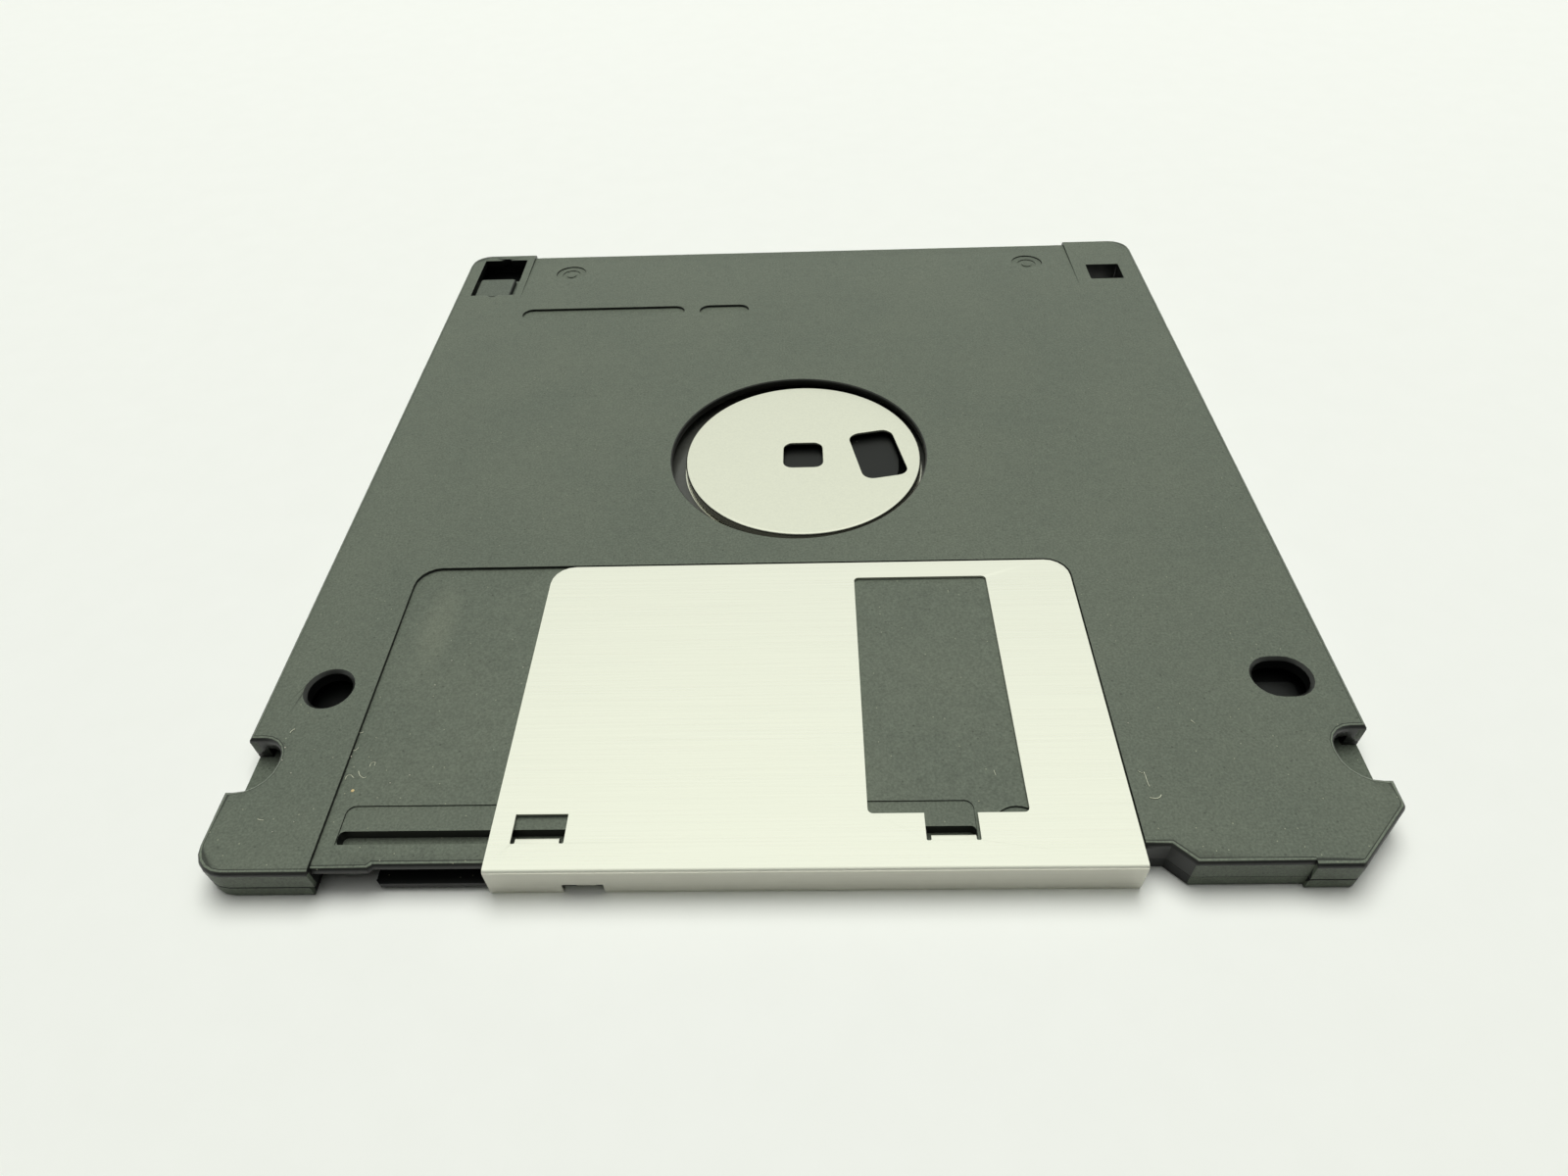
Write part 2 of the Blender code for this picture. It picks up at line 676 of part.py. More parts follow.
def head_window(name, low, high):
    """The radial slot through which the heads reach the disk."""
    return prism(
        name,
        rectangle(
            -WINDOW_WIDTH / 2,
            WINDOW_WIDTH / 2,
            WINDOW_FRONT,
            WINDOW_BACK,
            WINDOW_CORNER,
        ),
        low,
        high,
    )


def sensor_hole(name, x):
    """A sensor hole through the case."""
    outline = rectangle_at(x, SENSOR_Y, SENSOR_HOLE_WIDTH, SENSOR_HOLE_LENGTH, 0.2)
    return prism(name, outline, -OVER, TOP + OVER)


def label_side_shell(finish):
    """Lower half shell: the face that the label goes on."""
    shell = case_blank("label_side_shell", 0.0, SEAM_LOW, LABEL_SIDE_FILLET, False, finish)
    up = SEAM + OVER
    cut(
        shell,
        prism("label_disk_room", circle(0, HUB_Y, ROOM_RADIUS, TURN_STEPS), FLOOR, up),
        corner_rooms("label", FLOOR, up, shared_islands("label")),
        prism("label_slide_well", slide_well_outline(), FLOOR, up),
        prism("lip_top", rectangle(GAP_RIGHT, CHANNEL_RIGHT, FRONT - OVER, GROOVE_FRONT), LABEL_LIP_TOP, up),
        prism(
            "channel",
            rectangle(GAP_RIGHT, CHANNEL_RIGHT, LABEL_LIP_FRONT + LABEL_LIP_WIDTH, GROOVE_BACK + RIB),
            FLOOR,
            up,
        ),
        prism("label_grip_left", grip_outline(-1), FLOOR, up),
        prism("label_grip_right", grip_outline(1), FLOOR, up),
        shutter_recess("label_shutter_recess", -OVER, RECESS_DEPTH),
        head_window("label_head_window", -OVER, TOP + OVER),
        sensor_hole("label_density_hole", DENSITY_X),
        sensor_hole("label_protect_hole", -REFERENCE_X),
    )
    cut_front(shell, "label", False)
    gap_ease = LABEL_LIP_FRONT + LABEL_LIP_WIDTH
    gap = [
        (BLOCK_RIGHT, FRONT - OVER),
        (GAP_RIGHT + gap_ease - FRONT + OVER, FRONT - OVER),
        (GAP_RIGHT, gap_ease),
        (GAP_RIGHT, FRONT + LEVER_GAP_DEPTH),
        (BLOCK_RIGHT, FRONT + LEVER_GAP_DEPTH),
    ]
    cut(shell, prism("lever_gap", gap, -OVER, up))
    label_back = BACK - LABEL_BACK_DEPTH
    half_label = RIGHT - LABEL_FROM_SIDE
    cut(
        shell,
        prism(
            "label_field",
            rounded(
                [
                    (-half_label, BACK - LABEL_LENGTH, LABEL_CORNER),
                    (half_label, BACK - LABEL_LENGTH, LABEL_CORNER),
                    (half_label, BACK + OVER, 0),
                    (-half_label, BACK + OVER, 0),
                ]
            ),
            -OVER,
            LABEL_DEPTH,
        ),
        prism("label_back_field", rectangle(-half_label, half_label, label_back, BACK + OVER), -OVER, up),
        edge_round(
            "label_back_round",
            [(half_label, label_back), (-half_label, label_back)],
            LABEL_DEPTH,
            LABEL_SIDE_FILLET,
            -1,
        ),
    )
    plateau = circle(0, HUB_Y, PLATEAU_RADIUS, TURN_STEPS // 2)

    def stop(inset):
        right = REFERENCE_X + LOCATING_STOP_RIGHT - inset
        back = LOCATING_Y + LOCATING_STOP_BACK - inset
        left = REFERENCE_X - LOCATING_DIAMETER + inset
        front = LOCATING_Y - LOCATING_DIAMETER + inset
        return rectangle(left, right, front, back, 3 * LOCATING_STOP_EASE - inset)

    stop_top = FLOOR + LOCATING_STOP_HEIGHT
    stop_levels = [
        (stop(0.0), FLOOR - FACE_WALL / 2),
        (stop(0.0), stop_top - LOCATING_STOP_EASE),
        (stop(LOCATING_STOP_EASE), stop_top),
    ]
    join(
        shell,
        prism("plateau", plateau, FLOOR - FACE_WALL / 2, PLATEAU_TOP),
        loft("locating_stop", stop_levels),
    )
    for index, (x, y) in enumerate(pin_places()):
        join(shell, prism(f"pin_{index}", circle(x, y, PIN_RADIUS), FLOOR - FACE_WALL / 2, ROOF - PIN_TOP_GAP))
    return shell


def pin_places():
    """Centres of the four weld pins."""
    back = BACK - EJECTOR_FROM_BACK
    beside = LOCATING_Y + PIN_FROM_LOCATING
    return [
        (LEFT + EJECTOR_FROM_SIDE, back),
        (RIGHT - EJECTOR_FROM_SIDE, back),
        (LEFT + PIN_FROM_SIDE, beside),
        (RIGHT - PIN_FROM_SIDE, beside),
    ]


def locating_outline(side, grow=0.0):
    """One locating hole: round on the left, oblong on the right."""
    stretch = LOCATING_OBLONG / 2 if side > 0 else 0.0
    radius = LOCATING_DIAMETER / 2 + grow
    x = side * REFERENCE_X
    if not stretch:
        return circle(x, LOCATING_Y, radius, HOLE_STEPS)
    return pill(x, LOCATING_Y, stretch, radius)


def hub_side_shell(finish):
    """Upper half shell: the face with the hub hole, the locating holes and the slide's opening."""
    shell = case_blank("hub_side_shell", SEAM_HIGH, TOP, CASE_FILLET, True, finish)
    down = SEAM - OVER
    above = TOP + OVER
    bosses = [prism(f"locating_land_{side}", locating_outline(side, LOCATING_BOSS), RIM_LOW, above) for side in (-1, 1)]
    bosses += [prism(f"grip_land_{side}", grip_outline(side, RIB), RIM_LOW, above) for side in (-1, 1)]
    bosses += [
        prism(f"pin_boss_{index}", circle(x, y, PIN_RADIUS + PIN_CLEARANCE + PIN_BOSS_WALL), -OVER, above)
        for index, (x, y) in enumerate(pin_places())
    ]
    cut(
        shell,
        prism("hub_disk_room", circle(0, HUB_Y, ROOM_RADIUS, TURN_STEPS), down, ROOF),
        corner_rooms("hub", down, ROOF, shared_islands("hub") + bosses),
        prism("hub_slide_well", slide_well_outline(), down, ROOF),
        prism(
            "tab_channel",
            rectangle(RECESS_LEFT, CHANNEL_RIGHT, FRONT - OVER, FRONT + CHANNEL_DEPTH),
            down,
            LIP_BOTTOM,
        ),
        prism(
            "spring_passage",
            rectangle(GAP_RIGHT, CHANNEL_RIGHT, FRONT + CHANNEL_DEPTH - RIB, GROOVE_BACK + RIB),
            down,
            GROOVE_FLOOR - GROOVE_ROOF,
        ),
        shutter_recess("hub_shutter_recess", RECESS_TOP, above),
        prism(
            "rail_field",
            rounded(
                [
                    (GROOVE_LEFT - RAIL_MARGIN, GROOVE_FRONT, 0),
                    (GROOVE_RIGHT + RAIL_MARGIN, GROOVE_FRONT, 0),
                    (GROOVE_RIGHT + RAIL_MARGIN, GROOVE_FRONT + RAIL_WIDTH, RAIL_CORNER),
                    (GROOVE_LEFT - RAIL_MARGIN, GROOVE_FRONT + RAIL_WIDTH, RAIL_CORNER),
                ]
            ),
            RAIL_TOP,
            above,
        ),
        prism(
            "guide_groove",
            rectangle(GROOVE_LEFT, GROOVE_RIGHT, GROOVE_FRONT, GROOVE_BACK, GROOVE_CORNER),
            GROOVE_FLOOR,
            above,
        ),
        head_window("hub_head_window", -OVER, above),
        sensor_hole("hub_density_hole", DENSITY_X),
    )
    cut_front(shell, "hub", True)
    flare = OVER / 2
    cut(
        shell,
        loft(
            "hub_hole",
            [
                (circle(0, HUB_Y, HUB_WINDOW_RADIUS, TURN_STEPS), down),
                (circle(0, HUB_Y, HUB_WINDOW_RADIUS, TURN_STEPS), TOP - HUB_WINDOW_CHAMFER),
                (circle(0, HUB_Y, HUB_WINDOW_RADIUS + HUB_WINDOW_CHAMFER + flare, TURN_STEPS), TOP + flare),
            ],
        ),
    )
    for side in (-1, 1):
        cut(
            shell,
            loft(
                f"locating_hole_{side}",
                [
                    (locating_outline(side), down),
                    (locating_outline(side), TOP - LOCATING_CHAMFER),
                    (locating_outline(side, LOCATING_CHAMFER + flare), TOP + flare),
                ],
            ),
            prism(f"grip_{side}", grip_outline(side), down, above),
            edge_round(f"grip_round_{side}", grip_path(side), TOP, GRIP_FILLET, 1),
        )
    cut(shell, *slide_opening(), *back_fold(), *moulded_marks())
    for index, (x, y) in enumerate(pin_places()):
        cut(shell, prism(f"pin_socket_{index}", circle(x, y, PIN_RADIUS + PIN_CLEARANCE), down, ROOF))
    return shell


def slide_opening():
    """The long opening over the slide, with a half-round bite in each end."""
    x = SLIDE_OPENING_X
    low = ROOF - OVER
    return [
        prism(
            "slide_opening",
            rectangle(x - SLIDE_OPENING_WIDTH / 2, x + SLIDE_OPENING_WIDTH / 2, SLIDE_OPENING_FRONT, SLIDE_OPENING_BACK),
            low,
            TOP + OVER,
        ),
        prism("slide_bite_front", circle(x, SLIDE_OPENING_FRONT + SLIDE_BITE_INSET, SLIDE_BITE), low, TOP + OVER),
        prism("slide_bite_back", circle(x, SLIDE_OPENING_BACK - SLIDE_BITE_INSET, SLIDE_BITE), low, TOP + OVER),
    ]


def back_fold():
    """Where the label is folded over the back edge: the face slopes down to it and the edge is set in."""
    half = RIGHT - LABEL_FROM_SIDE
    slope = LABEL_FOLD_DEPTH / LABEL_FOLD_LENGTH
    start = BACK - LABEL_FOLD_LENGTH
    edge = BACK - LABEL_BACK_DEPTH
    rise = 0.02
    ramp = [
        (start - rise / slope, TOP + rise),
        (BACK + OVER, TOP - slope * (LABEL_FOLD_LENGTH + OVER)),
        (BACK + OVER, TOP + OVER),
        (start - rise / slope, TOP + OVER),
    ]
    return [
        bar("fold_ramp", ramp, -half, half),
        prism("fold_edge", rectangle(-half, half, edge, BACK + OVER), -OVER, TOP + OVER),
        edge_round(
            "fold_round",
            [(half, edge), (-half, edge)],
            TOP - slope * (edge - start),
            LIP_FILLET,
            1,
        ),
    ]


def moulded_marks():
    """Two bare code fields and the round ejector marks."""
    y = BACK - CODE_FIELD_FROM_BACK
    floor = TOP - CODE_FIELD_DEPTH
    above = TOP + OVER
    long_left = LEFT + LONG_FIELD_FROM_LEFT
    short_left = long_left + LONG_FIELD_LENGTH + CODE_FIELD_SPACE
    marks = []
    for name, left, length in (("long", long_left, LONG_FIELD_LENGTH), ("short", short_left, SHORT_FIELD_LENGTH)):
        outline = pill(left + length / 2, y, (length - CODE_FIELD_HEIGHT) / 2, CODE_FIELD_HEIGHT / 2)
        marks.append(prism(name + "_code_field", outline, floor, above))
    ejector_y = BACK - EJECTOR_FROM_BACK
    surface = TOP - LABEL_FOLD_DEPTH * (ejector_y - BACK + LABEL_FOLD_LENGTH) / LABEL_FOLD_LENGTH
    places = [
        (LEFT + EJECTOR_FROM_SIDE, ejector_y, surface),
        (RIGHT - EJECTOR_FROM_SIDE, ejector_y, surface),
        (FRONT_EJECTOR_X, FRONT + FRONT_EJECTOR_FROM_FRONT, RECESS_TOP),
    ]
    for index, (x, y, level) in enumerate(places):
        disc_floor = level - EJECTOR_DEPTH
        ring_floor = disc_floor - EJECTOR_RING_DEPTH
        profile = [
            (EJECTOR_RING_INNER, ring_floor),
            (EJECTOR_RING_OUTER, ring_floor),
            (EJECTOR_RING_OUTER, above),
            (EJECTOR_RING_INNER, above),
        ]
        marks.append(prism(f"ejector_mark_{index}", circle(x, y, EJECTOR_RADIUS), disc_floor, above))
        marks.append(turned(f"ejector_ring_{index}", profile, (x, y), steps=HOLE_STEPS))
    return marks


def liner(name, inner, low, finish):
    """A fabric ring with a slot for the heads, open at the rim."""
    high = low + LINER_THICKNESS
    outer = ROOM_RADIUS - LINER_RIM_GAP
    ring = turned(name, [(inner, low), (outer, low), (outer, high), (inner, high)], (0, HUB_Y), finish)
    half = WINDOW_WIDTH / 2 + LINER_WINDOW_MARGIN
    slot = rectangle(-half, half, FRONT, WINDOW_BACK + LINER_WINDOW_MARGIN)
    cut(ring, prism(name + "_slot", slot, low - OVER, high + OVER))
    return ring


def label_side_liner(finish):
    """Lower liner, which bulges over the lifter."""
    low = FLOOR + LAYER_GAP
    ring = liner("label_side_liner", HUB_FLANGE_RADIUS + DISK_SHIFT + LABEL_LINER_MARGIN, low, finish)
    left, right, front, back = lifter_place()
    room_top = low + LIFTER_RISE + LIFTER_FILM + LAYER_GAP
    top = room_top + LINER_THICKNESS - LAYER_GAP
    slope = top - low - LINER_THICKNESS / 2

    def place(grow):
        return rectangle(left - grow, right + grow, front - grow, back + grow)

    join(
        ring,
        loft(
            "liner_bulge",
            [
                (place(LIFTER_ROOM + slope), low + LINER_THICKNESS / 2),
                (place(LIFTER_ROOM), top),
            ],
        ),
    )
    cut(ring, prism("lifter_room", place(LIFTER_ROOM / 2), low - OVER, room_top))
    return ring


def lifter_place():
    """Left, right, front and back of the lifter in plan."""
    left = WINDOW_WIDTH / 2 + LIFTER_FROM_WINDOW
    front = HUB_Y - DISK_RADIUS + LIFTER_FROM_RIM
    return left, left + LIFTER_WIDTH, front, HUB_Y - LIFTER_FROM_HUB


def liner_lifter(finish):
    """A strip of plastic film glued flat along one side and bent up on the other."""
    left, right, front, back = lifter_place()
    low = FLOOR + LAYER_GAP
    base = right - LIFTER_BASE
    crest = left + LIFTER_TONGUE
    under = [
        (right, low),
        (base, low),
        (crest, low + LIFTER_RISE),
        (left, low + LIFTER_RISE - LIFTER_TIP_DROP),
    ]
    over = [(x, height + LIFTER_FILM) for x, height in reversed(under)]
    return bar("liner_lifter", under + over, front, back, "Y", finish)


def hub(finish):
    """Stamped hub: a flat face, a round wall and a flange that the disk is glued to."""
    low = HUB_LOW
    top = HUB_LOW + HUB_RISE
    inner = HUB_FACE_RADIUS - HUB_SHEET
    edge = arc((HUB_FACE_RADIUS - HUB_EDGE, top - HUB_EDGE), HUB_EDGE, 0, math.pi / 2)
    profile = [
        (inner, low),
        (HUB_FLANGE_RADIUS, low),
        (HUB_FLANGE_RADIUS, low + HUB_SHEET),
        (HUB_FACE_RADIUS, low + HUB_SHEET),
        *edge,
        (0, top),
        (0, top - HUB_SHEET),
        (inner, top - HUB_SHEET),
    ]
    body = turned("hub", profile, AXIS, finish)

    def square(grow):
        return rectangle_at(*AXIS, HUB_SQUARE, HUB_SQUARE, HUB_SQUARE_CORNER, grow)

    def drive(grow):
        points = rectangle_at(0, 0, DRIVE_HOLE_WIDTH, DRIVE_HOLE_LENGTH, DRIVE_HOLE_CORNER, grow)
        turn = Matrix.Rotation(DRIVE_HOLE_TURN, 2)
        centre = Vector(AXIS) + Vector((DRIVE_HOLE_RADIUS, 0))
        return [tuple(centre + turn @ Vector(point)) for point in points]

    flare = OVER / 2
    for name, outline in (("spindle_hole", square), ("drive_hole", drive)):
        levels = [
            (outline(0.0), low),
            (outline(0.0), top - HUB_HOLE_CHAMFER),
            (outline(HUB_HOLE_CHAMFER + flare), top + flare),
        ]
        cut(body, loft(name, levels))
    return body


def disk_ring(name, inner, outer, low, thickness, finish):
    """A flat ring about the hub's axis."""
    high = low + thickness
    return turned(name, [(inner, low), (outer, low), (outer, high), (inner, high)], AXIS, finish)


def shutter(finish):
    """One sheet folded round the front edge, with a head window, two guide tabs and a spring tab."""
    sheet = SHUTTER_SHEET
    inner_bend = SHUTTER_BEND - sheet
    section = rounded(
        [
            (SHUTTER_BACK, SHUTTER_TOP, 0),
            (FRONT, SHUTTER_TOP, SHUTTER_BEND),
            (FRONT, SHUTTER_LOW, SHUTTER_BEND),
            (SHUTTER_BACK, SHUTTER_LOW, 0),
            (SHUTTER_BACK, SHUTTER_LOW + sheet, 0),
            (FRONT + sheet, SHUTTER_LOW + sheet, inner_bend),
            (FRONT + sheet, SHUTTER_TOP - sheet, inner_bend),
            (SHUTTER_BACK, SHUTTER_TOP - sheet, 0),
        ]
    )
    body = bar("shutter", section, SHUTTER_LEFT, SHUTTER_RIGHT, "X", finish)
    frame = rounded(
        [
            (SHUTTER_LEFT - OVER, FRONT - OVER, 0),
            (SHUTTER_RIGHT + OVER, FRONT - OVER, 0),
            (SHUTTER_RIGHT + OVER, SHUTTER_BACK + OVER, 0),
            (SHUTTER_LEFT - OVER, SHUTTER_BACK + OVER, 0),
        ]
    )
    plan = rounded(
        [
            (SHUTTER_LEFT, FRONT - OVER / 2, 0),
            (SHUTTER_RIGHT, FRONT - OVER / 2, 0),
            (SHUTTER_RIGHT, SHUTTER_BACK, SHUTTER_CORNER),
            (SHUTTER_LEFT, SHUTTER_BACK, SHUTTER_CORNER),
        ]
    )
    corners = prism("shutter_corners", frame, -OVER, TOP + OVER)
    cut(corners, prism("shutter_plan", plan, -2 * OVER, TOP + 2 * OVER))
    window_right = SHUTTER_RIGHT - SHUTTER_WINDOW_FROM_RIGHT
    window = rectangle(
        window_right - SHUTTER_WINDOW_WIDTH,
        window_right,
        WINDOW_FRONT - SHUTTER_WINDOW_MARGIN,
        WINDOW_BACK,
        WINDOW_CORNER,
    )
    cut(body, corners, prism("shutter_window", window, -OVER, TOP + OVER))
    for name, centre in (("left", LEFT_TAB_X), ("right", RIGHT_TAB_X)):
        add_guide_tab(body, name, centre)
    add_spring_tab(body)
    return body


def add_guide_tab(body, name, centre):
    """A tab bent down from the front edge of its punched hole into the groove."""
    sheet = SHUTTER_SHEET
    under = SHUTTER_TOP - sheet
    line = FRONT + TAB_FROM_FRONT
    half_hole = TAB_HOLE_WIDTH / 2
    hole = rectangle(centre - half_hole, centre + half_hole, line, line + TAB_HOLE_LENGTH)
    cut(body, prism(name + "_tab_hole", hole, under - sheet, SHUTTER_TOP + OVER))
    relief = (TAB_HOLE_WIDTH - TAB_WIDTH) / 2
    for side in (-1, 1):
        outer = centre + side * half_hole
        left, right = sorted((outer, outer - side * relief))
        notch = rectangle(left, right, line - TAB_RELIEF, line + TAB_RELIEF, relief / 3)
        cut(body, prism(f"{name}_tab_relief_{side}", notch, under - sheet, SHUTTER_TOP + OVER))
    section = rounded(
        [
            (line - sheet, SHUTTER_TOP, 0),
            (line - sheet, under, 0),
            (line, under, 0.05),
            (line, under - TAB_DROP, 0),
            (line + sheet, under - TAB_DROP, 0),
            (line + sheet, SHUTTER_TOP, sheet),
        ]
    )
    join(body, bar(name + "_tab", section, centre - TAB_WIDTH / 2, centre + TAB_WIDTH / 2))


def spring_slot_place():
    """Left and right ends of the slot in the shutter's front, and of the tab in it."""
    left = SHUTTER_LEFT + SPRING_SLOT_FROM_LEFT
    tab_left = left + SPRING_TAB_FROM_SLOT
    return left, left + SPRING_SLOT_WIDTH, tab_left, tab_left + SPRING_TAB_WIDTH


def add_spring_tab(body):
    """A tab lanced from the front web and bent inwards, which the spring pushes on."""
    left, right, tab_left, tab_right = spring_slot_place()
    sheet = SHUTTER_SHEET

    def slot(top):
        return [
            (FRONT - OVER, SHUTTER_LOW - OVER),
            (FRONT + SPRING_SLOT_REACH, SHUTTER_LOW - OVER),
            (FRONT + SPRING_SLOT_REACH, top),
            (FRONT - OVER, top),
        ]

    ear = SPRING_TAB_HEIGHT + SPRING_SLOT_EAR
    cut(
        body,
        bar("spring_slot", slot(SPRING_TAB_HEIGHT), left, right),
        bar("spring_ear_left", slot(ear), left, tab_left - SPRING_SLOT_EAR),
        bar("spring_ear_right", slot(ear), tab_right + SPRING_SLOT_EAR, right),
    )
    tab = [
        (FRONT + sheet / 2, SPRING_TAB_HEIGHT),
        (FRONT + SPRING_TAB_LENGTH, SPRING_TAB_HEIGHT - SPRING_TAB_FALL),
        (FRONT + SPRING_TAB_LENGTH, SPRING_TAB_HEIGHT - SPRING_TAB_FALL + sheet),
        (FRONT + sheet / 2, SPRING_TAB_TOP),
    ]
    join(body, bar("spring_tab", tab, tab_left, tab_right))


def tangent_angle(centre, radius, point, leaving):
    """Where a straight leg to the point leaves, or one from it joins, a coil wound anticlockwise."""
    line = Vector(point) - Vector(centre)
    lean = math.acos(radius / line.length)
    return math.atan2(line.y, line.x) + (-lean if leaving else lean)


def shutter_spring(finish):
    """Torsion spring: one leg stands in the corner of the case, the other pushes the shutter's spring tab."""
    low = FLOOR + SPRING_WIRE / 2 + 2 * SPRING_SEAT_GAP
    high = low + SPRING_PITCH * SPRING_TURNS
    fixed_end = (LEFT + SIDE_WALL + SPRING_END_FROM_WALL, FRONT + SPRING_END_FROM_FRONT)
    tab_left = spring_slot_place()[2]
    push_end = (tab_left - SPRING_WIRE / 2 - SPRING_SEAT_GAP, FRONT + SPRING_TAB_LENGTH - SPRING_SEAT_GAP)
    push_bend = (push_end[0], push_end[1] + SPRING_HOOK)
    centre = ((fixed_end[0] + push_end[0]) / 2, push_bend[1] + SPRING_BACK)
    start = tangent_angle(centre, SPRING_COIL_RADIUS, fixed_end, False)
    stop = tangent_angle(centre, SPRING_COIL_RADIUS, push_bend, True)
    turn = (stop - start) % (2 * math.pi) + 2 * math.pi * (SPRING_TURNS - 1)
    steps = round(turn / (2 * math.pi) * SPRING_COIL_STEPS)
    points = [(*fixed_end, high)]
    for step in range(steps + 1):
        angle = start + turn * step / steps
        points.append(
            (
                centre[0] + SPRING_COIL_RADIUS * math.cos(angle),
                centre[1] + SPRING_COIL_RADIUS * math.sin(angle),
                high + (low - high) * step / steps,
            )
        )
    points += [(*push_bend, low), (*push_end, low)]
    curve = bpy.data.curves.new("shutter_spring", "CURVE")
    curve.dimensions = "3D"
    curve.bevel_depth = SPRING_WIRE / 2 * SCALE
    curve.bevel_resolution = 2
    curve.use_fill_caps = True
    spline = curve.splines.new("POLY")
    spline.points.add(len(points) - 1)
    for point, place in zip(spline.points, points):
        point.co = (*metres(*place), 1.0)
    curve.materials.append(finish)
    spring = bpy.data.objects.new("shutter_spring", curve)
    bpy.context.scene.collection.objects.link(spring)
    return spring


def write_protect_slide(finish):
    """Small slide: a foot held under the upper shell and a raised block that a fingernail moves."""
    half = SLIDE_WIDTH / 2
    foot_low = FLOOR + SLIDE_FOOT_GAP
    foot_back = SLIDE_FRONT + SLIDE_LENGTH + SLIDE_SHORT_FOOT
    body = prism(
        "write_protect_slide",
        rectangle(
            max(SLIDE_X - half - SLIDE_FOOT_MARGIN, LEFT + SIDE_WALL + SLIDE_FOOT_GAP),
            SLIDE_X + half + SLIDE_FOOT_MARGIN,
            SLIDE_FRONT - SLIDE_FOOT_MARGIN + SLIDE_SHORT_FOOT,
            foot_back,
            SLIDE_EASE,
        ),
        foot_low,
        ROOF - SLIDE_FOOT_GAP,
        finish,
    )
    nick_left = SLIDE_OPENING_X - SLIDE_BITE
    nick_right = SLIDE_OPENING_X + SLIDE_BITE
    nick = rectangle(nick_left, nick_right, SLIDE_FRONT - SLIDE_FOOT_MARGIN, SLIDE_FRONT)
    cut(body, prism("slide_nick", nick, 0.0, TOP))
    block = rectangle(SLIDE_X - half, SLIDE_X + half, SLIDE_FRONT, SLIDE_FRONT + SLIDE_LENGTH, SLIDE_EASE)
    crown = rectangle(
        SLIDE_X - half + SLIDE_EASE / 2,
        SLIDE_X + half - SLIDE_EASE / 2,
        SLIDE_FRONT + SLIDE_EASE / 2,
        SLIDE_FRONT + SLIDE_LENGTH - SLIDE_EASE / 2,
        SLIDE_EASE,
    )
    top = TOP - SLIDE_TOP_GAP
    levels = [(block, SEAM), (block, top - SLIDE_EASE / 2), (crown, top)]
    join(body, loft("slide_block", levels))
    return body


def build():
    """Clears the scene and makes every piece."""
    for old in list(bpy.data.objects):
        bpy.data.objects.remove(old, do_unlink=True)

    black_plastic = material("black_abs", (0.084, 0.101, 0.073), 0.55)
    dark_plastic = material("black_slide", (0.04, 0.042, 0.04), 0.5)
    shutter_metal = material("brushed_shutter", (0.84, 0.87, 0.74), 0.3, 1.0)
    hub_metal = material("satin_hub", (0.73, 0.76, 0.62), 0.34, 1.0)
    spring_metal = material("spring_wire", (0.6, 0.6, 0.6), 0.25, 1.0)
    liner_fabric = material("liner_fabric", (0.82, 0.82, 0.8), 0.95)
    disk_film = material("coated_film", (0.09, 0.075, 0.065), 0.3)
    glue = material("adhesive_ring", (0.75, 0.74, 0.7), 0.5)
    lifter_film = material("lifter_film", (0.7, 0.72, 0.74), 0.25)

    label_side_shell(black_plastic)
    label_side_liner(liner_fabric)
    liner_lifter(lifter_film)
    axis_pieces = [hub(hub_metal)]
    glue_low = HUB_LOW + HUB_SHEET + LAYER_GAP
    disk_bore = HUB_FACE_RADIUS + DISK_BORE_CLEARANCE
    axis_pieces.append(
        disk_ring(
            "hub_adhesive_ring",
            disk_bore + GLUE_INSET,
            HUB_FLANGE_RADIUS - GLUE_INSET,
            glue_low,
            GLUE_THICKNESS,
            glue,
        )
    )
    disk_low = glue_low + GLUE_THICKNESS + LAYER_GAP
    axis_pieces.append(disk_ring("magnetic_disk", disk_bore, DISK_RADIUS, disk_low, DISK_THICKNESS, disk_film))
    for piece in axis_pieces:
        move_origin(piece, *AXIS)
    hub_liner_inner = HUB_WINDOW_RADIUS + HUB_LINER_MARGIN
    liner("hub_side_liner", hub_liner_inner, ROOF - LAYER_GAP - LINER_THICKNESS, liner_fabric)
    shutter_spring(spring_metal)
    slide = write_protect_slide(dark_plastic)
    move_origin(slide, SLIDE_X, SLIDE_FRONT)
    hub_side_shell(black_plastic)
    leaf = shutter(shutter_metal)
    move_origin(leaf, SHUTTER_LEFT, FRONT)


build()
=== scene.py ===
"""A 3.5 inch floppy disk cartridge lying hub side up, seen from close over its shutter edge.

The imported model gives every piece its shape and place. Here each piece gets its finish: moulded
plastic, brushed and satin steel, coated film and fabric, and the dust that the photograph shows.
"""

import math

import bmesh
import bpy
from mathutils import Matrix, Vector


